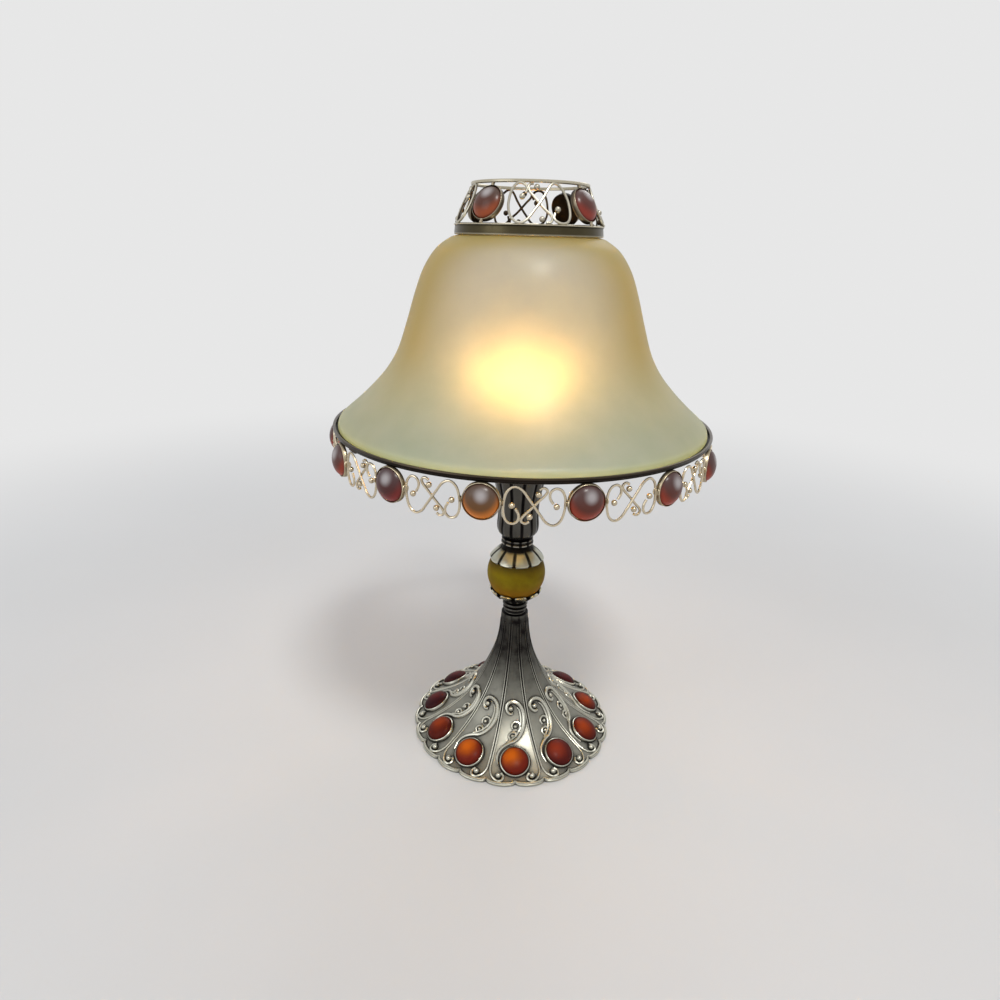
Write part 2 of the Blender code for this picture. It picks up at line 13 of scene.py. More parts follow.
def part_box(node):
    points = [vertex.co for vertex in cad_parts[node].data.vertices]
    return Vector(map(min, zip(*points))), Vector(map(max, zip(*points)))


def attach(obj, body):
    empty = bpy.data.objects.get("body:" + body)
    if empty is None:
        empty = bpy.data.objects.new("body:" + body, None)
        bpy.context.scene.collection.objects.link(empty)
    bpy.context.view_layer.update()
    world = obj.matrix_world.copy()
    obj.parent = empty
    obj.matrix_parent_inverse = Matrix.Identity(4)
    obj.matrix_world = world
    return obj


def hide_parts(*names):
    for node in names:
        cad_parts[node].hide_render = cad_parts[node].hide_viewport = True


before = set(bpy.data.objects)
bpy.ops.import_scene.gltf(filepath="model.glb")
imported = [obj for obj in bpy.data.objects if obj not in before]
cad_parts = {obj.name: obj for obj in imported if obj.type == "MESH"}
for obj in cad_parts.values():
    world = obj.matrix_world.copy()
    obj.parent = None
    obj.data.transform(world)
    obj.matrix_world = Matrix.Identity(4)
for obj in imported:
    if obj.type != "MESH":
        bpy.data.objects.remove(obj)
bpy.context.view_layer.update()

mm = 0.001

# How finely pieces are made
round_steps = 144
stone_steps = 40
cabochon_steps = 9
lip_steps = 6
tab_steps = 4
merge_distance = 0.000001
start_size = 0.001
wire_roundness = 2
smooth_angle = radians(38)


def base_of(node):
    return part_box(node)[0].z


def top_of(node):
    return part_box(node)[1].z


def ends_of(node):
    return base_of(node), top_of(node)


def middle_of(node):
    return sum(ends_of(node)) / 2


def reach_of(node):
    low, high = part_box(node)
    return (high.x - low.x) / 2


# Choosing and finishing pieces

def only(*pieces):
    """Leaves only these pieces selected, the first one active."""
    bpy.ops.object.select_all(action="DESELECT")
    for piece in pieces:
        piece.select_set(True)
    bpy.context.view_layer.objects.active = pieces[0]


def editing(on):
    bpy.ops.object.mode_set(mode="EDIT" if on else "OBJECT")


def named(piece, name):
    piece.name = name
    piece.data.name = name
    return piece


def joined(name, pieces):
    """Several modelled parts of one piece, made one mesh."""
    only(*pieces)
    bpy.ops.object.join()
    return named(bpy.context.object, name)


def copied(piece, name, turn):
    """A copy with its own mesh, turned about the lamp's axis."""
    only(piece)
    bpy.ops.object.duplicate()
    copy = named(bpy.context.object, name)
    copy.rotation_euler.z = turn
    bpy.ops.object.transform_apply()
    return copy


def placed(piece, seat):
    """Carries a piece modelled at the origin to its seat and leaves its place in its mesh."""
    only(piece)
    piece.matrix_world = seat
    bpy.ops.object.transform_apply()
    return piece


def dress(piece, body, slot, material, *nodes):
    """Smooths a finished piece and gives it its material and its body; hides the frame's nodes that it stands
    for.
    """
    only(piece)
    bpy.ops.object.shade_smooth_by_angle(angle=smooth_angle)
    piece.data.materials.clear()
    piece.data.materials.append(material)
    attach(piece, body)
    if nodes:
        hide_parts(*nodes)


# Drawing lines, wires and turned shapes

def around(radius, angle, height):
    return Vector((radius * sin(angle), -radius * cos(angle), height))


def facing(radius, angle, height, lean=0.0):
    """A seat on the lamp: local Z points outwards and up by lean, local Y up along the surface."""
    outward = around(1, angle, 0)
    up = Vector((0, 0, 1))
    normal = outward * cos(lean) + up * sin(lean)
    rise = up * cos(lean) - outward * sin(lean)
    turn = Matrix((rise.cross(normal), rise, normal)).transposed().to_4x4()
    return Matrix.Translation(around(radius, angle, height)) @ turn


def from_corner(radius, height, *places):
    """Outline points given in millimetres out and up from a corner."""
    return [(radius + out * mm, height + up * mm) for out, up in places]


def scaled(shares, radius, low, high, inner=0.0):
    """Outline points from shares of the way out to a radius and up to a height."""
    return [(inner + (radius - inner) * out, low + (high - low) * up) for out, up in shares]


def neighbours(points):
    """The points before and after each point of a line."""
    return zip(points[:1] + points, points[1:] + points[-1:])


def smooth(points, steps):
    """More points on a smooth curve through a few given ones."""
    points = [Vector(point) for point in points]
    lean = [(after - before).normalized() for before, after in neighbours(points)]
    curve = []
    for start, end, first, last in zip(points, points[1:], lean, lean[1:]):
        handle = (end - start).length / 3
        corners = [corner.to_3d() for corner in (start, start + first * handle, end - last * handle, end)]
        piece = geometry.interpolate_bezier(*corners, steps + 1)
        curve += [Vector(point[:len(start)]) for point in piece[:-1]]
    return curve + points[-1:]


def drawn(name, points):
    """A line of edges: one point is pulled along from place to place."""
    bpy.ops.object.select_all(action="DESELECT")
    bpy.ops.mesh.primitive_plane_add(size=start_size, location=points[0])
    piece = named(bpy.context.object, name)
    editing(True)
    bpy.ops.mesh.merge(type="CENTER")
    for before, after in zip(points, points[1:]):
        bpy.ops.mesh.extrude_vertices_move(TRANSFORM_OT_translate={"value": after - before})
    editing(False)
    bpy.ops.object.transform_apply()
    return piece


def spun(name, outline, steps=round_steps):
    """A turned shape: (radius, height) points swept round the axis, closed unless they start on it."""
    if outline[0][0] > 0:
        outline = [*outline, outline[0]]
    piece = drawn(name, [Vector((0, -radius, height)) for radius, height in outline])
    editing(True)
    bpy.ops.mesh.select_all(action="SELECT")
    bpy.ops.mesh.spin(steps=steps, angle=tau, center=(0, 0, 0), axis=(0, 0, 1))
    bpy.ops.mesh.select_all(action="SELECT")
    bpy.ops.mesh.remove_doubles(threshold=merge_distance)
    bpy.ops.mesh.normals_make_consistent(inside=False)
    editing(False)
    return piece


def wire(path, radius, swell=None):
    """A round wire along a path; swell gives its thickness along the way, as shares."""
    drawn("wire", path)
    bpy.ops.object.convert(target="CURVE")
    line = bpy.context.object.data
    line.bevel_depth = radius
    line.bevel_resolution = wire_roundness
    line.use_fill_caps = True
    if swell:
        spots = line.splines[0].points
        first, last = [(spot.co.to_3d() - path[0]).length for spot in (spots[0], spots[-1])]
        for index, spot in enumerate(spots):
            share = index / (len(spots) - 1)
            spot.radius = swell(1 - share if first > last else share)
    bpy.ops.object.convert(target="MESH")
    return bpy.context.object


def ball(centre, radius):
    bpy.ops.object.select_all(action="DESELECT")
    bpy.ops.mesh.primitive_ico_sphere_add(subdivisions=3, radius=radius, location=centre)
    bpy.ops.object.transform_apply()
    return bpy.context.object


def in_groups(piece, value_at, move):
    """Moves the points of a piece in groups that share one value of (angle, radius, height)."""
    only(piece)
    editing(True)
    edit = bmesh.from_edit_mesh(piece.data)
    groups = {}
    for point in edit.verts:
        x, y, z = point.co
        value = round(value_at(atan2(x, -y), hypot(x, y), z), 6)
        if value:
            groups.setdefault(value, []).append(point.index)
    for value, members in groups.items():
        bpy.ops.mesh.select_all(action="DESELECT")
        edit = bmesh.from_edit_mesh(piece.data)
        edit.verts.ensure_lookup_table()
        for index in members:
            edit.verts[index].select = True
        edit.select_flush(True)
        move(value)
    editing(False)


def narrowed(piece, share_at):
    """Draws points in towards the lamp's axis by a share of their radius."""
    def move(share):
        bpy.ops.transform.resize(value=(1 - share, 1 - share, 1), center_override=(0, 0, 0))
    in_groups(piece, share_at, move)


def lowered(piece, drop_at):
    """Moves points straight down by a drop."""
    def move(drop):
        bpy.ops.transform.translate(value=(0, 0, -drop))
    in_groups(piece, drop_at, move)


def notch(angle, count, start=0.0):
    """One at each of so many sharp valleys round a turn, zero on the round lobes between them."""
    return 1 - sqrt(abs(sin((angle - start) * count / 2)))


# Node helpers: each finds its tree from a socket that it is given

def feed(socket, value):
    """Links an output to an input, or sets a plain value on it."""
    if isinstance(value, bpy.types.NodeSocket):
        socket.id_data.links.new(value, socket)
    else:
        socket.default_value = (*value, 1) if socket.type == "RGBA" else value


def fill(node, **sockets):
    """Feeds a node's inputs by name, with _ for a blank."""
    for label, value in sockets.items():
        feed(node.inputs[label.replace("_", " ")], value)
    return node


def make_node(tree, kind, options=None, **sockets):
    """Adds a shader node, sets its options and fills its named inputs."""
    made = tree.nodes.new("ShaderNode" + kind)
    for option, value in (options or {}).items():
        setattr(made, option, value)
    return fill(made, **sockets)


def in_order(kind, options, *values, inputs=range(5)):
    """Adds a node and feeds its inputs in order; returns its outputs."""
    tree = next(value.id_data for value in values if isinstance(value, bpy.types.NodeSocket))
    made = make_node(tree, kind, options)
    for index, value in zip(inputs, values):
        feed(made.inputs[index], value)
    return made.outputs


def calc(operation, first, second=0.0, third=0.0, clamp=False):
    """A sum on values."""
    return in_order("Math", {"operation": operation, "use_clamp": clamp}, first, second, third)[0]


def vector_calc(operation, *values):
    """A sum on vectors."""
    return in_order("VectorMath", {"operation": operation}, *values)


def remap(value, low, high, to_low=0.0, to_high=1.0):
    """Carries a value smoothly from one range to another."""
    return in_order("MapRange", {"interpolation_type": "SMOOTHSTEP"}, value, low, high, to_low, to_high)[0]


def blend(share, first, second):
    """Mixes two colours by a share."""
    return in_order("Mix", {"data_type": "RGBA"}, share, first, second, inputs=(0, 6, 7))[2]


def noise(place, scale, detail, roughness=0.5):
    return make_node(place.id_data, "TexNoise", None, Vector=place, Scale=scale, Detail=detail,
                     Roughness=roughness).outputs["Fac"]


def bump(height, strength, distance):
    """A raised surface, for a shader's Normal."""
    made = make_node(height.id_data, "Bump", None, Strength=strength, Distance=distance, Height=height)
    return made.outputs[0]


def parts_of(place):
    return in_order("SeparateXYZ", None, place)


def use_group(group, place, **sockets):
    return make_node(place.id_data, "Group", {"node_tree": group}, Place=place, **sockets).outputs


def new_group(name, inputs, outputs):
    """A shader node group with named sockets; returns its tree, its inputs and its output node."""
    tree = bpy.data.node_groups.new(name, "ShaderNodeTree")
    for side, sockets in (("INPUT", inputs), ("OUTPUT", outputs)):
        for label, kind in sockets.items():
            tree.interface.new_socket(name=label, in_out=side, socket_type="NodeSocket" + kind)
    return tree, tree.nodes.new("NodeGroupInput").outputs, tree.nodes.new("NodeGroupOutput")


def new_material(name, **plain):
    """A material with plain values on its shader; returns it, the shader and the Object coordinates."""
    material = bpy.data.materials.new(name)
    material.use_nodes = True
    tree = material.node_tree
    shader = fill(tree.nodes["Principled BSDF"], **plain)
    return material, shader, make_node(tree, "TexCoord").outputs["Object"]


# Shared effects

def make_patina_and_shade_group():
    """Dark patina and painted shade in the recesses of a metal casting, and bright metal on its rubbed edges.
    """
    tree, given, result = new_group(
        "patina_and_shade",
        dict(Place="Vector", Bare="Color", Rubbed="Color", Grime="Color", Depth="Float", Cover="Float",
             Polish="Float"),
        dict(Color="Color", Roughness="Float", Height="Float"))
    hollow = make_node(tree, "AmbientOcclusion", {"samples": 10}, Distance=given["Depth"])
    # Darkening where the casting is sheltered: its patina there, and painted shade.
    recess_patina_and_shade = remap(hollow.outputs["AO"], 0.97, 0.7)
    clean = calc("SUBTRACT", 1.0, given["Cover"], clamp=True)
    curve = make_node(tree, "NewGeometry").outputs["Pointiness"]
    edge = calc("MULTIPLY", remap(curve, 0.51, 0.58), clean)
    cloud = noise(given["Place"], 190.0, 4.0, 0.55)
    speck = noise(given["Place"], 2600.0, 3.0, 0.6)
    lying = calc("MULTIPLY_ADD", recess_patina_and_shade, 0.95, remap(cloud, 0.4, 0.72, 0.0, 0.16))
    kept = calc("SUBTRACT", calc("ADD", lying, given["Cover"]), edge, clamp=True)
    bright = blend(edge, given["Bare"], given["Rubbed"])
    rough = calc("MULTIPLY_ADD", kept, 0.22, given["Polish"])
    fill(result, Color=blend(kept, bright, given["Grime"]), Height=calc("MULTIPLY_ADD", speck, 0.4, cloud),
         Roughness=calc("MULTIPLY_ADD", speck, 0.12, rough))
    return tree


def make_frost_group():
    """The fine even grain of acid-frosted glass."""
    tree, given, result = new_group(
        "frost", dict(Place="Vector", Scale="Float"), dict(Shade="Float", Height="Float"))
    grain = noise(given["Place"], given["Scale"], 4.0, 0.7)
    cloud = noise(given["Place"], calc("MULTIPLY", given["Scale"], 0.04), 3.0)
    fill(result, Shade=calc("MULTIPLY_ADD", grain, 0.4, cloud), Height=grain)
    return tree


patina_and_shade = make_patina_and_shade_group()
frost = make_frost_group()


# Metals and their darkening: patina, grime and painted shade

def metal(name, bare, rubbed, grime_and_shade, polish, depth=0.0022, darkening_at=None):
    """A cast or rolled metal with its patina and painted shade in its recesses; a function of place darkens it
    further.
    """
    material, shader, place = new_material(name, Metallic=1.0)
    look = use_group(patina_and_shade, place, Bare=bare, Rubbed=rubbed, Grime=grime_and_shade, Depth=depth, Polish=polish,
                     Cover=darkening_at(place) if darkening_at else 0.0)
    fill(shader, Base_Color=look["Color"], Roughness=look["Roughness"],
         Normal=bump(look["Height"], 0.25, 0.0001))
    return material


def spoke_lines(place, count, first, wide, narrow):
    """Dark lines that run out from the axis, so many to a turn, the first one at an angle."""
    axes = parts_of(place)
    angle = calc("ARCTAN2", axes["X"], calc("MULTIPLY", axes["Y"], -1.0))
    turns = calc("MULTIPLY_ADD", angle, count / tau, 0.5 - first * count / tau)
    away = calc("ABSOLUTE", calc("SUBTRACT", calc("FRACT", turns), 0.5))
    across = calc("POWER", axes["X"], 2.0)
    radius = calc("SQRT", calc("MULTIPLY_ADD", axes["Y"], axes["Y"], across))
    distance = calc("MULTIPLY", calc("MULTIPLY", away, tau / count), radius)
    return remap(distance, wide, narrow, 0.0, 0.92), radius


def stem_darkening(place):
    """Darker up the stem."""
    return remap(parts_of(place)["Z"], 0.012, 0.056, 0.0, 0.86)


def petal_patina_and_shade(place):
    """The stem's darkening, and a dark line along the ridge between two petals: patina and painted shade in
    the groove there.
    """
    line, radius = spoke_lines(place, petal_count, petal_turn / 2, 0.0011, 0.0004)
    line = calc("MULTIPLY", line, remap(radius, 0.05, 0.046))
    return calc("MAXIMUM", line, stem_darkening(place))


def cap_painted_shade(place):
    """Painted shade in the gaps between the cap's petals and a painted dark ring where they meet."""
    line, _ = spoke_lines(place, cup_lobes, cup_valley, 0.0013, 0.0005)
    top = top_of("petal_cap")
    rise = top - base_of("petal_cap")
    ring = remap(parts_of(place)["Z"], top - rise * 0.46, top - rise * 0.24, 0.0, 0.97)
    return calc("MAXIMUM", line, ring)


# Painted shade in the valleys between the dish's lobes.
def dish_valley_shade(place):
    return spoke_lines(place, cup_lobes, cup_valley, 0.0022, 0.0008)[0]


# Painted shade in the grooves between the vase's flutes.
def flute_groove_shade(place):
    return spoke_lines(place, vase_flutes, flute_valley, 0.0012, 0.0004)[0]


def inward_face_shade(place):
    """Painted shade on the faces that look inwards, towards the lamp's axis."""
    axes = parts_of(place)
    flat = make_node(place.id_data, "CombineXYZ", None, X=axes["X"], Y=axes["Y"]).outputs[0]
    outward = vector_calc("NORMALIZE", flat)["Vector"]
    normal = make_node(place.id_data, "NewGeometry").outputs["Normal"]
    return remap(vector_calc("DOT_PRODUCT", outward, normal)["Value"], 0.3, -0.3, 0.0, 0.93)


# Stones, glass, wax and flame

def frosted(shader, place, scale, smoothest, roughest, strength, depth):
    """Gives a shader the roughness and the relief of frosted glass; returns its shade."""
    grain = use_group(frost, place, Scale=scale)
    fill(shader, Roughness=remap(grain["Height"], 0.3, 0.7, smoothest, roughest),
         Normal=bump(grain["Height"], strength, depth))
    return grain["Shade"]


def face_distance(face, across, up):
    return vector_calc("DISTANCE", face, (across, up, 0.0))["Value"]


def frosted_stone(name, coat):
    """Returns the material, its shader, its shade and the stone's own map, across and up its face."""
    material, shader, place = new_material(name, IOR=1.5, Coat_Weight=coat, Coat_Roughness=0.26,
                                           Specular_IOR_Level=0.08)
    shade = frosted(shader, place, 3500.0, 0.42, 0.56, 0.35, 0.00006)
    return material, shader, shade, make_node(shader.id_data, "UVMap", {"uv_map": "face"}).outputs["UV"]


def foot_cabochon(name, lit, deep):
    """Light gathers left of the middle of the stone and dies away to its dark edge."""
    material, shader, shade, face = frosted_stone(name, 0.05)
    wander = calc("MULTIPLY_ADD", shade, 0.2, face_distance(face, 0.37, 0.63))
    colour = blend(remap(wander, 0.16, 0.66), lit, deep)
    edge = remap(face_distance(face, 0.5, 0.5), 0.4, 0.5, 0.0, 0.55)
    fill(shader, Base_Color=blend(edge, colour, (0.05, 0.006, 0.004)))
    return material


def hung_cabochon(name, glow, body, haze):
    """A painted glow of light lies in the lower rim of the stone; a painted sheen lies on its upper half, a
    painted highlight above its middle and painted shade round its rim.
    """
    material, shader, shade, face = frosted_stone(name, 0.5)
    wander = calc("MULTIPLY_ADD", shade, 0.1, parts_of(face)["Y"])
    # A painted highlight above the middle of the stone.
    painted_highlight = remap(face_distance(face, 0.54, 0.72), 0.26, 0.03, 0.0, 0.72)
    crescent = remap(face_distance(face, 0.5, 0.72), 0.36, 0.66)
    # A painted sheen on the upper half.
    colour = blend(remap(wander, 0.42, 0.92, 0.0, 0.85), body, haze)
    colour = blend(painted_highlight, colour, (0.46, 0.43, 0.43))
    colour = blend(crescent, colour, glow)
    # Painted shade round the rim.
    edge = remap(face_distance(face, 0.5, 0.5), 0.43, 0.5, 0.0, 0.5)
    fill(shader, Base_Color=blend(edge, colour, (0.05, 0.015, 0.01)))
    return material


def make_bead_glass():
    """Matt amber glass, olive in the middle and browner towards its ends."""
    material, shader, place = new_material(
        "matt_amber_glass", IOR=1.5, Subsurface_Weight=0.2, Subsurface_Radius=(0.004, 0.003, 0.001),
        Specular_IOR_Level=0.06)
    shade = frosted(shader, place, 2400.0, 0.48, 0.62, 0.45, 0.00009)
    height, middle = parts_of(place)["Z"], middle_of("glass_bead")
    colour = blend(remap(shade, 0.45, 0.95), (0.165, 0.108, 0.004), (0.25, 0.185, 0.006))
    colour = blend(remap(height, middle + 0.002, middle - 0.014), colour, (0.27, 0.1, 0.007))
    colour = blend(remap(height, middle + 0.002, middle + 0.01), colour, (0.062, 0.037, 0.008))
    fill(shader, Base_Color=colour)
    return material


def make_shade_glass():
    """Frosted pale glass, greener at its foot, with a painted ochre tint at its sides and a painted glow: warm
    round the flame behind it and bright along its lip.
    """
    material, shader, place = new_material(
        "frosted_shade_glass", IOR=1.45, Transmission_Weight=0.48, Coat_Weight=0.24, Coat_Roughness=0.3,
        Emission_Strength=0.6)
    shade = frosted(shader, place, 1800.0, 0.62, 0.7, 0.2, 0.00008)
    height = parts_of(place)["Z"]
    upper = remap(height, shade_low + 0.02, shade_high - 0.015)
    body = blend(upper, (0.42, 0.465, 0.35), (0.445, 0.458, 0.42))
    colour = blend(remap(shade, 0.4, 1.0, 0.0, 0.5), body, (0.56, 0.57, 0.46))
    # Painted light from the flame: a warm tint and a glow on the glass round it.
    from_flame = vector_calc("DISTANCE", place, (0.0, 0.0, flame_heart))["Value"]
    flame_glow_share = remap(from_flame, 0.09, 0.055)
    colour = blend(calc("MULTIPLY", flame_glow_share, 0.12), colour, (0.43, 0.35, 0.15))
    # A painted ochre tint towards the sides of the glass as seen.
    turned_away = make_node(shader.id_data, "LayerWeight", None, Blend=0.35).outputs["Facing"]
    above_flare = remap(height, shade_low + 0.01, shade_low + 0.045, 0.25, 0.95)
    side = calc("MULTIPLY", remap(turned_away, 0.08, 0.5), above_flare)
    glow = blend(flame_glow_share, (0.02, 0.018, 0.007), (0.12, 0.08, 0.026))
    # A painted bright glow along the lip.
    lip = remap(height, shade_low + 0.004, shade_low + 0.001)
    fill(shader, Base_Color=blend(side, colour, (0.37, 0.3, 0.08)),
         Emission_Color=blend(lip, glow, (0.26, 0.24, 0.07)))
    return material


def make_wax():
    """Candle wax with a clear melted pool round the wick."""
    material, shader, place = new_material("candle_wax", Subsurface_Weight=0.4,
                                           Subsurface_Radius=(0.004, 0.0035, 0.002))
    shade = use_group(frost, place, Scale=400.0)["Shade"]
    fill(shader, Base_Color=blend(remap(shade, 0.4, 1.0), (0.85, 0.8, 0.66), (0.92, 0.88, 0.78)),
         Roughness=remap(shade, 0.4, 1.0, 0.25, 0.45), Normal=bump(shade, 0.1, 0.0003))
    return material


def make_wick_cotton():
    """Braided cotton, charred at its tip."""
    material, shader, place = new_material("charred_cotton", Roughness=0.9)
    braid = make_node(shader.id_data, "TexWave", {"bands_direction": "DIAGONAL"}, Vector=place, Scale=900.0,
                      Distortion=2.0).outputs["Fac"]
    burnt = remap(parts_of(place)["Z"], wax_level, wax_level + 0.004)
    cotton = blend(braid, (0.55, 0.5, 0.4), (0.75, 0.7, 0.58))
    fill(shader, Base_Color=blend(burnt, cotton, (0.02, 0.018, 0.016)), Normal=bump(braid, 0.6, 0.0002))
    return material


def make_flame():
    """A candle flame: dim root, white-yellow heart and orange tip."""
    material, shader, place = new_material("candle_flame", Roughness=0.6, Emission_Strength=1.7)
    rise = remap(parts_of(place)["Z"], flame_low, flame_low + flame_height)
    ramp = make_node(shader.id_data, "ValToRGB", None, Fac=rise)
    stops = ramp.color_ramp.elements
    stops[0].color = (0.25, 0.1, 0.05, 1)
    stops[1].color = (1.0, 0.5, 0.12, 1)
    stops.new(0.35).color = (1.0, 0.78, 0.36, 1)
    fill(shader, Base_Color=ramp.outputs["Color"], Emission_Color=ramp.outputs["Color"])
    return material


# Stones and their bezels

def stone(seat, radius, height, shoulder):
    """A cabochon on its flat back, with its face laid out as a map for its colours."""
    outline = [(0, 0), (radius - shoulder, 0), (radius, shoulder)]
    for step in range(1, cabochon_steps + 1):
        angle = pi / 2 * step / cabochon_steps
        outline.append((radius * cos(angle), shoulder + (height - shoulder) * sin(angle)))
    piece = spun("gem", outline, stone_steps)
    face = piece.data.uv_layers.new(name="face")
    for corner in piece.data.loops:
        x, y, _ = piece.data.vertices[corner.vertex_index].co
        face.data[corner.index].uv = (0.5 + x / (2 * radius), 0.5 + y / (2 * radius))
    return placed(piece, seat)


def bezel(name, seat, inner, wall, low, high, back=0.0):
    """A thin metal cup round a stone, its edge rolled in and rounded; back closes it behind the stone."""
    outer = inner + wall
    outline = [
        (inner, low), (inner, high - wall / 2), (inner + wall / 3, high), (outer - wall / 4, high - wall / 6),
        (outer, high - wall / 2), (outer + wall / 3, low + (high - low) / 4), (outer + wall / 2, low),
    ]
    if back:
        outline = [(0, low), *outline, (outer, low - back), (0, low - back)]
    return placed(spun(name, outline, stone_steps), seat)


# Foot

petal_count = 11
petal_turn = tau / petal_count
foot_radius = 0.055
foot_neck = 0.0071
foot_lip = 0.0016
foot_top = top_of("foot_casting")
foot_wall = 0.0024
foot_mouth = foot_radius - 0.0045
foot_ceiling = 0.038
bore = 0.0028
petal_columns = 24
petal_hollow = 0.0007
scallop_depth = 0.0019
scallop_run = 0.0065
scallop_full = foot_radius - 0.0012
slope_step = 0.0005
foot_shares = (
    (0.985, 0.004), (0.865, 0.035), (0.725, 0.084), (0.57, 0.155), (0.41, 0.254), (0.285, 0.364),
    (0.19, 0.474), (0.115, 0.59), (0.056, 0.71), (0.018, 0.85), (0.0, 1.0),
)
stone_circle = 0.0432
foot_stone_radius = 0.0071
foot_stone_lift = 0.0008
bezel_gap = 0.0001


def foot_profile(steps):
    return smooth(scaled(foot_shares, foot_radius, foot_lip, foot_top, foot_neck), steps)


foot_line = foot_profile(6)


def petal_drop(angle, radius):
    """How far a petal lies below the ridges on its two sides."""
    share = (angle / petal_turn + 0.5) % 1
    spread = max(0.0, min(1.0, (radius - foot_neck) / (stone_circle - foot_neck)))
    return petal_hollow * spread * sin(pi * share)


def foot_level(radius, angle):
    """Height of the petals' skin at a radius and an angle from a petal's middle line."""
    level = foot_line[0][1]
    for (outer, low), (inner, high) in zip(foot_line, foot_line[1:]):
        if inner <= radius <= outer:
            level = low + (high - low) * (outer - radius) / (outer - inner)
            break
    return level - petal_drop(angle, radius)


def foot_slope(radius):
    return atan2(2 * slope_step, foot_level(radius - slope_step, 0) - foot_level(radius + slope_step, 0))


def on_foot(radius, across, lift=0.0):
    """A point on a petal: across is measured along the skin from the petal's middle line."""
    angle = across / radius
    return around(radius, angle, foot_level(radius, angle) + lift)


def relief(route, radius, swell, steps=6):
    """A raised line of the casting along (radius, across) places on a petal."""
    return wire([on_foot(*place) for place in smooth(route, steps)], radius, swell)


def build_foot_skin():
    """The petals, turned first, then hollowed and scalloped column by column."""
    inner = []
    for radius, height in foot_profile(2)[1:]:
        slope = foot_slope(radius)
        place = (radius - foot_wall * cos(slope), height - foot_wall * sin(slope))
        if 0 < place[1] < foot_ceiling and bore < place[0] < foot_mouth:
            inner.append(place)
    piece = spun("petal_foot", [
        (foot_radius, foot_lip / 3), *from_corner(foot_radius, foot_lip, (0, -0.3), (-0.3, 0)),
        *foot_profile(4), (bore, foot_top), (bore, foot_ceiling), (inner[-1][0], foot_ceiling),
        *reversed(inner), (foot_mouth, 0), (foot_radius - foot_lip / 3, 0),
    ], petal_count * petal_columns)

    def scallop(angle, radius, height):
        start = foot_radius - scallop_run
        if radius < start or (height < foot_lip / 2 and radius < foot_mouth):
            return 0
        near_rim = min(1.0, (radius - start) / (scallop_full - start))
        return scallop_depth / foot_radius * near_rim * notch(angle, 2 * petal_count)

    def hollow(angle, radius, height):
        on_top = height > foot_level(min(radius, foot_line[0][0]), 0) - foot_wall / 3
        return petal_drop(angle, radius) if on_top and height > foot_lip else 0

    lowered(piece, hollow)
    narrowed(piece, scallop)
    return piece


def build_rim_line():
    """The raised line that follows the scalloped edge."""
    columns = petal_count * petal_columns
    path = []
    for column in range(columns + 1):
        angle = tau * column / columns
        radius = foot_radius - 0.0009 - scallop_depth * notch(angle, 2 * petal_count)
        path.append(around(radius, angle, foot_lip + 0.0002))
    return named(wire(path, 0.0005), "foot_rim_line")


def petal_places(*places):
    """(radius, across) places in millimetres, as metres."""
    return [Vector((out * mm, across * mm)) for out, across in places]


def one_petal_relief():
    """Scroll of two strands, its curls, and the ridge lines with their hooked ends, on the front petal."""
    outer_strand = petal_places(
        (24.3, -0.6), (24.5, -2.2), (23.6, -3.7), (22.1, -3.8), (20.9, -2.0), (20.9, 0.9), (22.3, 3.6),
        (25.0, 5.2), (28.4, 5.2), (31.8, 3.5), (34.2, 0.5), (35.6, -3.3), (38.0, -6.9), (41.4, -9.0),
        (45.2, -9.0))
    inner_strand = petal_places((22.4, 1.6), (23.6, 3.0), (26.0, 3.7), (28.6, 3.4), (31.2, 1.9), (33.2, -0.6),
                                (34.9, -3.6))
    first_curl = petal_places((30.6, 2.6), (29.0, 3.3), (27.6, 2.6), (27.1, 0.6), (28.2, -1.1), (29.8, -0.9))
    second_curl = petal_places((32.6, 0.9), (31.6, 1.0), (31.0, -0.2), (31.3, -1.9), (32.6, -2.9),
                               (33.8, -2.3))

    def thinning(share):
        return 1.0 - 0.3 * share

    parts = [
        relief(outer_strand, 0.00105,
               lambda share: 0.35 + 0.65 * sin(pi * min(1, 0.1 + share * 0.93)) ** 0.6),
        relief(inner_strand, 0.0007, lambda share: 0.55 + 0.45 * sin(pi * share)),
        relief(first_curl, 0.0007, thinning),
        relief(second_curl, 0.00068, thinning),
    ]
    balls = petal_places((23.2, -1.7), (29.0, 0.7), (32.6, -0.9))
    for place, radius in zip(balls, (0.00135, 0.00092, 0.00085)):
        parts.append(ball(on_foot(*place, radius * 0.45), radius))

    ridge_gap = 0.00064
    ridge = [(radius * mm, radius * mm * (petal_turn / 2) - ridge_gap)
             for radius in (7.4, 9, 12, 16, 21, 27, 33, 39, 44)]
    hook = petal_places((48.2, 12.8), (51.2, 12.0), (52.9, 9.7), (52.5, 7.2), (50.6, 6.2), (49.0, 7.2))
    for side in (-1, 1):
        places = [(radius, side * across) for radius, across in (*ridge, *hook)]
        parts.append(relief(places, 0.00074, lambda share: 0.32 + 0.68 * share ** 1.6, 5))
        parts.append(ball(on_foot(0.0508, side * 0.0087, 0.0007), 0.0014))
    return joined("petal_relief", parts)


def repeat_round(piece):
    """The piece and its copies on the other petals, joined into one."""
    copies = [copied(piece, "copy", petal_turn * place) for place in range(1, petal_count)]
    return joined(piece.name, [piece] + copies)


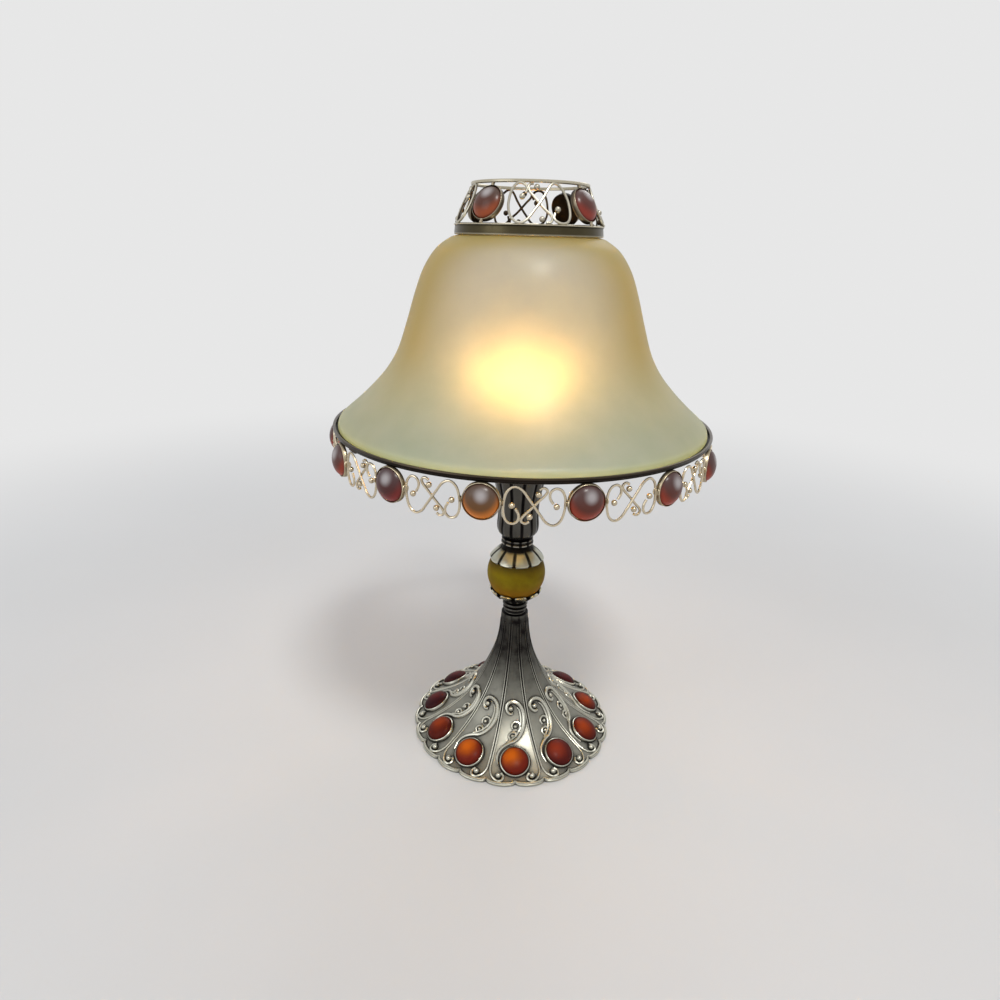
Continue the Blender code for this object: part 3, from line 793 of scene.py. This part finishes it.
def build_foot():
    pewter = metal("antique_pewter", (0.27, 0.265, 0.225), (0.5, 0.49, 0.41), (0.012, 0.01, 0.01), 0.31,
                   0.003, petal_patina_and_shade)
    raised = metal("rubbed_pewter", (0.33, 0.325, 0.275), (0.62, 0.61, 0.52), (0.01, 0.008, 0.008), 0.22,
                   darkening_at=stem_darkening)
    dress(build_foot_skin(), "stand", "antique_pewter", pewter, "foot_casting")
    dress(build_rim_line(), "stand", "antique_pewter", raised, "foot_casting")
    dress(repeat_round(one_petal_relief()), "stand", "antique_pewter", raised, "foot_casting")

    # Colours of each stone: where its painted light gathers, and away from it.
    orange, ember, red, dark = [foot_cabochon(f"{kind}_foot_stone", *colours) for kind, *colours in (
        ("orange", (0.55, 0.11, 0.004), (0.14, 0.012, 0.004)),
        ("ember", (0.28, 0.036, 0.004), (0.085, 0.008, 0.003)),
        ("red", (0.22, 0.025, 0.008), (0.07, 0.007, 0.005)),
        ("dark", (0.1, 0.009, 0.009), (0.035, 0.004, 0.006)))]
    # Brighter looks on the stones at the front and darker ones towards the back: painted light and shade round
    # the foot.
    looks = (orange, red, ember, ember, dark, dark, dark, dark, dark, ember, orange)
    seat = facing(stone_circle, 0, foot_level(stone_circle, 0), foot_slope(stone_circle))
    cup = bezel("foot_bezels", seat, foot_stone_radius + bezel_gap, 0.0006, -0.0017, 0.0015)
    gem = stone(seat @ Matrix.Translation((0, 0, foot_stone_lift)), foot_stone_radius, 0.0036, 0.0004)
    for place, look in enumerate(looks):
        piece = copied(gem, f"foot_gem_{place + 1:02d}", petal_turn * place)
        dress(piece, "stand", "foot_stone", look, f"foot_stone_{place + 1:02d}")
    bpy.data.objects.remove(gem)
    dress(repeat_round(cup), "stand", "antique_pewter", raised, "foot_casting")


# Stem: collar, dish, bead, cap and vase

cup_lobes = 10
cup_valley = radians(-9)
cup_clearance = 0.0003
cup_wall = 0.0009
vase_flutes = 12
flute_valley = radians(8)


def build_collar():
    shares = ((0.8, 0.0), (0.84, 0.05), (0.78, 0.16), (0.8, 0.26), (0.93, 0.34), (0.97, 0.43), (0.92, 0.52),
              (0.8, 0.58), (0.86, 0.66), (0.98, 0.72), (1.0, 0.81), (0.95, 0.9), (0.84, 0.96), (0.8, 1.0))
    low, high = ends_of("neck_collar")
    side = smooth(scaled(shares, reach_of("neck_collar"), low, high), 3)
    dark = metal("blackened_pewter", (0.05, 0.047, 0.042), (0.3, 0.285, 0.24), (0.008, 0.007, 0.007), 0.2)
    collar = spun("turned_collar", [*side, (bore, high), (bore, low)])
    dress(collar, "stand", "dark_bronze", dark, "neck_collar")


def bead_arc(size, start, end, count):
    """Outline points at a distance from the bead's centre, from one angle to another."""
    turns = [radians(start + (end - start) * step / count) for step in range(count + 1)]
    return [(size * cos(turn), middle_of("glass_bead") + size * sin(turn)) for turn in turns]


def build_bead_and_cups():
    radius = reach_of("glass_bead")
    snug = radius + cup_clearance
    pole = degrees(acos(bore / radius))
    bead = spun("amber_bead", bead_arc(radius, -pole, pole, 40), 96)
    dress(bead, "stand", "amber_glass", make_bead_glass(), "glass_bead")

    dish_low, dish_rim = ends_of("bead_dish")
    rim_radius = reach_of("bead_dish") - 0.0004
    dish = spun("ruffled_dish", [
        *bead_arc(snug, -pole, -50, 8),
        *from_corner(rim_radius, dish_rim, (-1.6, -1.2), (-0.6, -0.1), (0, -0.5), (-0.6, -1.8)),
        *bead_arc(snug + cup_wall, -52, -68, 3),
        (0.0062, dish_low + 0.0004), (0.0052, dish_low), (bore, dish_low),
    ], cup_lobes * 16)
    start = radius * 0.66

    def ruffled(depth, power):
        def at(angle, out, height):
            far = (out - start) / (rim_radius - start)
            return depth * far ** power * notch(angle, cup_lobes, cup_valley) if out > start else 0
        return at

    lowered(dish, ruffled(0.0019, 2))
    narrowed(dish, ruffled(0.09, 1))
    dish_metal = metal("dish_pewter", (0.08, 0.075, 0.062), (0.62, 0.59, 0.46), (0.006, 0.005, 0.005), 0.2,
                       darkening_at=dish_valley_shade)
    dress(dish, "stand", "antique_pewter", dish_metal, "bead_dish")

    cap_top = top_of("petal_cap")
    cap_back = snug + 0.0011
    crown = 0.0072
    back = bead_arc(cap_back, 31, 59, 14)
    cap_radius = back[0][0]
    cap = spun("petal_cap_cast", [
        *bead_arc(snug + 0.0001, pole, 30, 14), *from_corner(*back[0], (-0.5, -0.4), (-0.1, -0.2)), *back,
        *from_corner(crown, cap_top, (0.8, -1.2), (0.3, -0.5), (0, -0.1), (-0.4, 0)), (bore, cap_top),
    ], cup_lobes * 20)

    def far_out(out):
        return max(0.0, (out - crown) / (cap_radius - crown))

    def between(angle, out, height):
        if out < crown or hypot(out, height - middle_of("glass_bead")) < (snug + cap_back) / 2:
            return 0
        return 0.066 * min(1.0, 2 * far_out(out)) ** 0.7 * notch(angle, cup_lobes, cup_valley)

    def scallops(angle, out, height):
        return -0.0012 * far_out(out) ** 4 * notch(angle, cup_lobes, cup_valley) if out > crown else 0

    lowered(cap, scallops)
    narrowed(cap, between)
    pewter = metal("cup_pewter", (0.46, 0.46, 0.38), (0.66, 0.65, 0.54), (0.008, 0.007, 0.006), 0.27, 0.003,
                   cap_painted_shade)
    dress(cap, "stand", "antique_pewter", pewter, "petal_cap")


def build_vase():
    """Stepped neck, then a fluted body that opens to the spider's hub."""
    radius = reach_of("fluted_vase")
    low, high = ends_of("fluted_vase")
    neck = ((0.4, 0.0), (0.44, 0.008), (0.44, 0.022), (0.405, 0.034), (0.405, 0.046), (0.43, 0.054),
            (0.43, 0.062), (0.355, 0.074), (0.35, 0.086))
    body = ((0.46, 0.105), (0.535, 0.135), (0.566, 0.175), (0.572, 0.225), (0.556, 0.3), (0.548, 0.385),
            (0.575, 0.5), (0.63, 0.61), (0.735, 0.77), (0.885, 0.91), (0.955, 0.955))
    lip = ((0.985, 0.965), (1.0, 0.985), (0.995, 1.0))
    vase = spun("fluted_holder", [
        *scaled(neck, radius, low, high), *smooth(scaled(body, radius, low, high), 4),
        *scaled(lip, radius, low, high), (0.0065, high), (0.0065, high - 0.006), (bore, high - 0.006),
        (bore, low),
    ], vase_flutes * 16)
    start, end = low + 0.11 * (high - low), low + 0.93 * (high - low)

    def flute(angle, out, height):
        if not start < height < end or out < radius * 0.45:
            return 0
        fade = sin(pi * (height - start) / (end - start)) ** 0.5
        return 0.1 * fade * notch(angle, vase_flutes, flute_valley)

    narrowed(vase, flute)
    fluted = metal("fluted_pewter", (0.085, 0.08, 0.07), (0.34, 0.32, 0.27), (0.006, 0.005, 0.005), 0.16,
                   darkening_at=flute_groove_shade)
    dress(vase, "stand", "dark_bronze", fluted, "fluted_vase")


# Shade ring and fringe. A line is half a scroll wire, in shares of the unit's half width and half height
# from its middle, and the place of the grain at its end.

fringe_count = 14
fringe_turn = tau / fringe_count
ring_radius = 0.0898
ring_wall = 0.0012
ring_low = top_of("gallery_ring") - 0.0034
ring_top = top_of("gallery_ring") - 0.0008
wire_radius = 0.00053
wire_offset = wire_radius * 0.7
grain_radius = 0.0012
fringe_stone_radius = 0.0071
fringe_level = middle_of("fringe_stone_01")
fringe_back = ring_radius - ring_wall
hoop_wall = 0.0003
fringe_half_width = 0.0117
fringe_half_height = 0.0077
fringe_lines = (
    (((0, 0), (0.196, -0.43), (0.405, -0.85), (0.65, -1.0), (0.86, -0.79), (0.965, -0.366), (1.0, 0.12),
      (0.965, 0.55), (0.83, 0.86), (0.65, 0.91), (0.51, 0.73), (0.496, 0.43), (0.6, 0.14)), (0.72, -0.02)),
    (((0, 0), (0.19, 0.305), (0.35, 0.56), (0.41, 0.78), (0.29, 0.93), (0.15, 0.84)), (0.135, 0.58)),
)
crown_lines = (
    (((0, 0), (0.19, -0.41), (0.38, -0.83), (0.55, -1.0), (0.71, -0.94), (0.88, -0.66), (0.98, -0.24),
      (1.0, 0.19), (0.96, 0.61), (0.85, 0.9), (0.69, 1.0), (0.52, 0.93), (0.42, 0.74), (0.46, 0.5)),
     (0.57, 0.31)),
    (((0, 0), (0.18, 0.33), (0.34, 0.58), (0.385, 0.78), (0.32, 0.95), (0.19, 0.97)), (0.07, 0.8)),
)


def scroll_units(radius, height, half_width, half_height, lean, lines):
    """Two crossed wires bent round the axis, with a grain of metal at each end, and their mirror image."""
    units = []
    for hand in (-1, 1):
        parts = []
        for (shares, grain), offset in zip(lines, (wire_offset, -wire_offset)):

            def bend(side, up):
                outward = radius - half_height * up * sin(lean) + offset
                level = height + half_height * up * cos(lean)
                return around(outward, hand * half_width * side / radius, level)

            half = smooth(shares, 6)
            route = [-point for point in reversed(half[1:])] + half
            parts.append(wire([bend(*point) for point in route], wire_radius))
            parts += [ball(bend(end * grain[0], end * grain[1]), grain_radius) for end in (-1, 1)]
        units.append(joined("unit", parts))
    return units


def hang_round(row, body, start, gem, looks, setting, silver, units, wires, holder, own_wires=False):
    """Copies of a stone, of its setting and of the wires beside it, all the way round; clears the models."""
    for place, look in enumerate(looks):
        number = f"{place + 1:02d}"
        turn = start + tau * place / len(looks)
        stone_turn = turn + pi / len(looks)
        dress(copied(gem, f"{row}_gem_{number}", stone_turn), body, f"{row}_stone", look,
              f"{row}_stone_{number}")
        dress(copied(setting, f"{row}_bezel_{number}", stone_turn), body, "scroll_wire", silver, holder)
        dress(copied(units[place % 2], f"{row}_wires_{number}", turn), body, "scroll_wire", wires,
              f"{row}_scroll_{number}" if own_wires else holder)
    for model in (gem, setting, *units):
        bpy.data.objects.remove(model)


def build_ring(dark):
    """Angle section with a rolled bead at its top and a step below it."""
    seat = ring_radius - 0.007
    shelf = base_of("glass_shade") - 0.0003
    ring = spun("shade_ring", [
        (seat, ring_low), *from_corner(ring_radius, ring_low, (-0.9, 0), (-0.5, 0.2), (-0.4, 0.7), (0, 1.0)),
        *from_corner(ring_radius, ring_top, (0, -1.0), (0.2, -0.6), (0, -0.1), (-0.5, 0)),
        (fringe_back, ring_top - 0.0003), (fringe_back, shelf),
        *from_corner(seat, shelf, (0.6, 0), (0, -0.3)),
    ], 224)
    dress(ring, "stand", "dark_bronze", dark, "gallery_ring")


def build_fringe(wires, silver):
    # Colours of each stone: its painted glow, its own body colour and its painted sheen.
    amber, red, wine = [hung_cabochon(f"{kind}_fringe_stone", *colours) for kind, *colours in (
        ("amber", (0.72, 0.2, 0.01), (0.14, 0.058, 0.015), (0.086, 0.058, 0.044)),
        ("red", (0.36, 0.038, 0.012), (0.098, 0.021, 0.012), (0.074, 0.043, 0.04)),
        ("wine", (0.24, 0.02, 0.016), (0.07, 0.013, 0.011), (0.062, 0.036, 0.037)))]
    looks = (red, red, red, wine, amber, red, wine, amber, red, wine, red, red, wine, amber)
    seat = facing(fringe_back, 0, fringe_level)
    gem = stone(seat, fringe_stone_radius, 0.005, 0.0006)
    parts = [bezel("hoop", seat, fringe_stone_radius + bezel_gap, hoop_wall, 0.0, 0.0019)]
    tab_start = (fringe_stone_radius + hoop_wall) / ring_radius
    tab_turn = fringe_turn / 2 - fringe_half_width / ring_radius + 0.0004 - tab_start
    for side in (-1, 1):
        path = [around(fringe_back + 0.0009, side * (tab_start + tab_turn * step / tab_steps), fringe_level)
                for step in range(tab_steps + 1)]
        parts.append(wire(path, 0.0015, lambda share: 1.0 - 0.25 * sin(pi * share)))
    setting = joined("setting", parts)
    level = ring_low - 0.0003 - fringe_half_height - wire_radius
    left, right = scroll_units(
        ring_radius - ring_wall / 2, level, fringe_half_width, fringe_half_height, 0.0, fringe_lines)
    hang_round("fringe", "stand", 0.0, gem, looks, setting, silver, (right, left), wires, "gallery_ring", True)


# Glass shade

shade_low, shade_high = ends_of("glass_shade")
neck_height = 0.0036
lip_radius = 0.0879
neck_radius = 0.0307
glass_wall = 0.003
neck_inside = neck_radius - glass_wall
bell_shares = (
    (0.996, 0.012), (0.99, 0.034), (0.965, 0.06), (0.9, 0.118), (0.818, 0.2), (0.734, 0.3),
    (0.672, 0.41), (0.622, 0.56), (0.575, 0.72), (0.53, 0.84), (0.468, 0.935), (0.395, 0.99),
)


def build_shade():
    """One even wall of glass: a rounded lip, the bell, a soft shoulder and a short neck."""
    shoulder = shade_high - neck_height
    bell = scaled(bell_shares, lip_radius, shade_low, shoulder)
    outside = smooth([*bell, (neck_radius + 0.0015, shoulder)], 5)
    inside = []
    for place, (before, after) in zip(outside, neighbours(outside)):
        ahead = after - before
        inside.append(place - Vector((ahead.y, -ahead.x)).normalized() * glass_wall)
    middle = (outside[0] + inside[0]) / 2
    half = (outside[0] - inside[0]).length / 2
    start = atan2(*(inside[0] - middle).yx)
    lip = []
    for step in range(1, lip_steps):
        turn = start + pi * step / lip_steps
        lip.append((middle.x + half * cos(turn), max(shade_low, middle.y + half * sin(turn))))
    under = [place for place in reversed(inside) if place[0] > neck_inside + 0.0008]
    piece = spun("bell_shade", [
        *outside, *from_corner(neck_radius, shoulder, (0.3, 0.3), (0, 0.8)),
        *from_corner(neck_radius, shade_high, (0, -0.4), (-0.4, 0)),
        *from_corner(neck_inside, shade_high, (0.4, 0), (0, -0.4)), (neck_inside, shoulder - 0.001),
        *under, *lip,
    ], 192)
    dress(piece, "shade", "frosted_glass", make_shade_glass(), "glass_shade")


# Crown

crown_low = base_of("crown_frame")
crown_top = top_of("crown_frame")
crown_band_radius = 0.0332
crown_band_top = shade_high + 0.0014
crown_ring_radius = 0.0259
crown_ring_width = 0.0016
crown_ring_height = 0.0013
crown_turn = radians(4)
crown_stone_radius = 0.007
crown_half_width = 0.0125


def build_crown(dark, wires, silver):
    inside = crown_band_radius - 0.002
    flange = crown_band_top - 0.0011
    band = spun("crown_band", [
        (inside, crown_low), *from_corner(crown_band_radius, crown_low, (-0.4, 0), (-0.1, 0.3), (-0.1, 1.0)),
        *from_corner(crown_band_radius, crown_band_top, (-0.4, -1.0), (0, -0.7), (0, -0.3), (-0.5, 0)),
        *from_corner(neck_inside, crown_band_top, (0.3, 0), (0, -0.3)), (neck_inside, flange),
        (inside, flange),
    ])
    ring_in = crown_ring_radius - crown_ring_width
    ring_base = crown_top - crown_ring_height
    ring = spun("crown_ring", [
        (ring_in + 0.0002, ring_base), *from_corner(crown_ring_radius, ring_base, (-0.3, 0), (0, 0.3)),
        *from_corner(crown_ring_radius, crown_top, (0, -0.3), (-0.3, 0)),
        *from_corner(ring_in, crown_top, (0.3, 0), (0, -0.3)), (ring_in, ring_base + 0.0002),
    ])
    dress(band, "crown", "dark_bronze", dark, "crown_frame")
    dress(ring, "crown", "dark_bronze", dark, "crown_frame")

    low_radius = crown_band_radius - wire_radius
    high_radius = crown_ring_radius - crown_ring_width / 2
    rise = ring_base - crown_band_top
    lean = atan2(low_radius - high_radius, rise)
    middle = (low_radius + high_radius) / 2
    level = (ring_base + crown_band_top) / 2
    half_slant = hypot(low_radius - high_radius, rise) / 2

    # Colours of each stone: its painted glow, its own body colour and its painted sheen.
    looks = [hung_cabochon(f"{kind}_crown_stone", *colours) for kind, *colours in (
        ("rosy", (0.26, 0.03, 0.016), (0.088, 0.019, 0.013), (0.08, 0.047, 0.042)),
        ("brown", (0.32, 0.062, 0.014), (0.082, 0.023, 0.012), (0.076, 0.048, 0.037)))] * 2
    slant = facing(middle, 0, level, lean)
    seat = slant @ Matrix.Translation((0, 0, -0.0014))
    gem = stone(seat, crown_stone_radius, 0.0046, 0.0006)
    parts = [bezel("hoop", seat, crown_stone_radius + bezel_gap, hoop_wall, -0.0001, 0.0019, 0.0003)]
    for end in (-1, 1):
        near, far = [slant @ Vector((0, end * reach, 0))
                     for reach in (crown_stone_radius + hoop_wall / 2, half_slant + 0.0004)]
        parts.append(wire([near, (near + far) / 2, far], 0.0007))
    setting = joined("setting", parts)
    units = scroll_units(middle, level, crown_half_width, half_slant - wire_radius * 0.3, lean, crown_lines)
    hang_round("crown", "crown", crown_turn, gem, looks, setting, silver, units, wires, "crown_frame")


# Candle cup and tealight

wax_level = top_of("wax_fill")
flame_low = wax_level + 0.0045
flame_height = 0.024
flame_heart = flame_low + flame_height * 0.55


def build_candle(dark):
    boss_low, cup_top = ends_of("candle_cup")
    cup_low = boss_low + 0.0062
    inner = 0.0202
    cup = spun("candle_holder_cup", [
        *from_corner(0, boss_low, (2.9, 0), (5.7, 0), (6.0, 0.3)), (0.006, cup_low),
        *from_corner(inner, cup_low, (-1.0, 0), (0.6, 0.6), (1.0, 1.9)),
        *from_corner(inner, cup_top, (1.0, -1.0), (1.8, -0.6), (2.0, -0.2), (1.0, 0), (0.2, -0.1), (0, -0.6)),
        *from_corner(inner, cup_low, (0, 1.9), (-0.5, 1.5)), (0.0029, cup_low + 0.0009),
    ], 96)
    dress(cup, "stand", "dark_bronze", dark, "candle_cup")

    low, high = ends_of("tealight_shell")
    radius = reach_of("tealight_shell")
    shell = spun("tealight_cup", [
        (0, low + 0.0004), (radius * 0.55, low + 0.0004), (radius * 0.6, low),
        *from_corner(radius, low, (-1.2, 0), (-0.2, 1.0)),
        *from_corner(radius, high, (-0.2, -0.8), (0, -0.5), (0.1, -0.2), (-0.2, 0), (-0.6, -0.2),
                     (-0.5, -0.9)),
        *from_corner(radius, low, (-0.5, 1.3), (-1.6, 0.3)), (0, low + 0.0007),
    ], 96)
    foil = metal("tealight_foil", (0.8, 0.8, 0.8), (0.9, 0.9, 0.9), (0.45, 0.44, 0.42), 0.2)
    dress(shell, "tealight", "tealight_metal", foil, "tealight_shell")

    wax_radius = reach_of("wax_fill")
    wax_low = base_of("wax_fill")
    pool = smooth([
        *from_corner(wax_radius, wax_level, (0, -0.3), (-0.8, 0)), (wax_radius * 0.8, wax_level),
        (wax_radius * 0.62, wax_level - 0.0007), *from_corner(0, wax_level, (4, -1.0), (1, -0.7)),
    ], 3)
    wax = spun("wax", [(0.0048, wax_low), (wax_radius, wax_low), *pool,
                       *from_corner(0, wax_low, (1, 0.7), (4.8, 0.7))], 72)
    dress(wax, "tealight", "candle_wax", make_wax(), "wax_fill")

    wick_low, wick_top = ends_of("wick")
    bend = [(0, 0, wick_low), (0, 0, wax_level), (0.0002, 0, wax_level + 0.003),
            (0.0008, -0.0002, wick_top - 0.002), (0.0019, -0.0003, wick_top - 0.0004)]
    cotton = wire(smooth(bend, 4), 0.00065, lambda share: 1.0 - 0.25 * share)
    dress(named(cotton, "bent_wick"), "tealight", "wick_cotton", make_wick_cotton(), "wick")

    shares = ((0.0, 0.0), (0.45, 0.02), (0.82, 0.12), (1.0, 0.27), (0.9, 0.45), (0.62, 0.65), (0.33, 0.83),
              (0.12, 0.95), (0.0, 1.0))
    flame = spun("flame", smooth(scaled(shares, 0.0042, flame_low, flame_low + flame_height), 4), 40)
    dress(flame, "tealight", "candle_wax", make_flame())


def repaint(node, material):
    """A node of the frame whose shape is right keeps its mesh and gets a better finish."""
    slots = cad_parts[node].data.materials
    slots.clear()
    slots.append(material)


# Stage, lights and camera

floor_radius = 3.0
floor_near = 0.25
floor_far = 0.85
background = (0.8, 0.8, 0.8)
flame_lights = 5
flame_spread = 0.016
flame_energy = 0.47


def build_stage():
    """A pale floor that fades into the surroundings far from the lamp."""
    bpy.ops.object.select_all(action="DESELECT")
    bpy.ops.mesh.primitive_circle_add(vertices=96, radius=floor_radius, fill_type="NGON", location=(0, 0, 0))
    floor = named(bpy.context.object, "floor")
    editing(True)
    bpy.ops.mesh.inset(thickness=floor_radius * 0.5)
    editing(False)
    material, shader, place = new_material("pale_floor", Roughness=0.7, Specular_IOR_Level=0.2)
    fill(shader, Base_Color=blend(noise(place, 6.0, 4.0), (0.6, 0.6, 0.6), (0.64, 0.64, 0.64)))
    haze = remap(vector_calc("LENGTH", place)["Value"], floor_near, floor_far)
    tree = material.node_tree
    glow = make_node(tree, "Emission", None, Color=background)
    fade = in_order("MixShader", None, haze, shader.outputs[0], glow.outputs[0])
    fill(tree.nodes["Material Output"], Surface=fade[0])
    floor.data.materials.append(material)


def build_world():
    """Even studio surroundings, pale where they are seen or mirrored."""
    world = bpy.data.worlds.new("studio")
    bpy.context.scene.world = world
    world.use_nodes = True
    tree = world.node_tree
    tree.nodes.clear()
    path = make_node(tree, "LightPath").outputs
    shown = calc("ADD", path["Is Camera Ray"], path["Is Glossy Ray"])
    shown = calc("ADD", shown, path["Is Transmission Ray"], clamp=True)
    soft = make_node(tree, "Background", None, Color=(0.92, 0.95, 1.0), Strength=0.5)
    seen = make_node(tree, "Background", None, Color=background, Strength=1.0)
    mix = in_order("MixShader", None, shown, soft.outputs[0], seen.outputs[0])
    make_node(tree, "OutputWorld", None, Surface=mix[0])


def add_light(kind, name, location, energy, colour):
    bpy.ops.object.light_add(type=kind, location=location)
    light = bpy.context.object
    light.name = name
    light.data.energy = energy
    light.data.color = colour
    return light


def build_lights():
    target = Vector((0, 0, 0.14))
    for name, location, size, energy, colour in (
            ("key", (0.24, -0.72, 1.42), 0.34, 11.0, (1.0, 0.985, 0.95)),
            ("fill", (-1.1, -0.7, 0.8), 0.9, 4.0, (0.95, 0.97, 1.0)),
            ("back", (0.3, 1.2, 1.2), 0.9, 6.0, (1.0, 1.0, 1.0))):
        light = add_light("AREA", name, location, energy, colour)
        light.rotation_euler = (target - Vector(location)).to_track_quat("-Z", "Y").to_euler()
        light.data.size = size
    for place in range(flame_lights):
        spot = around(flame_spread, tau * place / flame_lights, flame_heart + 0.0015)
        light = add_light("POINT", f"flame_light_{place + 1}", spot, flame_energy / flame_lights,
                          (1.0, 0.52, 0.17))
        light.data.shadow_soft_size = 0.006
        light.visible_glossy = False
        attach(light, "tealight")


def build_camera():
    """The photograph's viewpoint, a little above the shade and looking down."""
    swing, tilt, roll = radians(-2.09), radians(20.7), radians(1.53)
    turn = Matrix.Rotation(swing, 3, "Z") @ Matrix.Rotation(pi / 2 - tilt, 3, "X")
    turn = turn @ Matrix.Rotation(roll, 3, "Z")
    bpy.ops.object.camera_add(location=(-0.0217, -0.3311, 0.2595), rotation=turn.to_euler())
    camera = bpy.context.object
    camera.data.sensor_width = 36
    camera.data.lens = 25.03
    camera.data.clip_start = 0.01
    bpy.context.scene.camera = camera


build_foot()
build_collar()
build_bead_and_cups()
build_vase()
bronze = metal("dark_bronze", (0.02, 0.015, 0.012), (0.07, 0.054, 0.038), (0.006, 0.005, 0.004), 0.24)
crown_bronze = metal("crown_bronze", (0.075, 0.062, 0.034), (0.55, 0.5, 0.38), (0.008, 0.006, 0.004), 0.22)
crown_wire = metal("crown_wire_metal", (0.33, 0.3, 0.24), (0.51, 0.48, 0.395), (0.035, 0.024, 0.016), 0.27,
                   darkening_at=inward_face_shade)
dark_setting = metal("dark_setting_metal", (0.07, 0.052, 0.035), (0.38, 0.32, 0.23), (0.01, 0.007, 0.005),
                     0.28, darkening_at=inward_face_shade)
scroll_metal = metal("scroll_wire_metal", (0.4, 0.33, 0.225), (0.68, 0.59, 0.44), (0.05, 0.034, 0.02), 0.2)
setting_metal = metal("setting_metal", (0.3, 0.24, 0.155), (0.58, 0.49, 0.34), (0.03, 0.022, 0.015), 0.24)
build_ring(bronze)
build_fringe(scroll_metal, setting_metal)
build_shade()
build_crown(crown_bronze, crown_wire, dark_setting)
build_candle(bronze)
steel = metal("rod_steel", (0.42, 0.41, 0.4), (0.7, 0.7, 0.7), (0.08, 0.07, 0.06), 0.3)
repaint("shade_spider", bronze)
for node in ("tie_rod", "rod_nut", "wick_base"):
    repaint(node, steel)
build_stage()
build_world()
build_lights()
build_camera()

bpy.context.scene.view_settings.view_transform = "Standard"
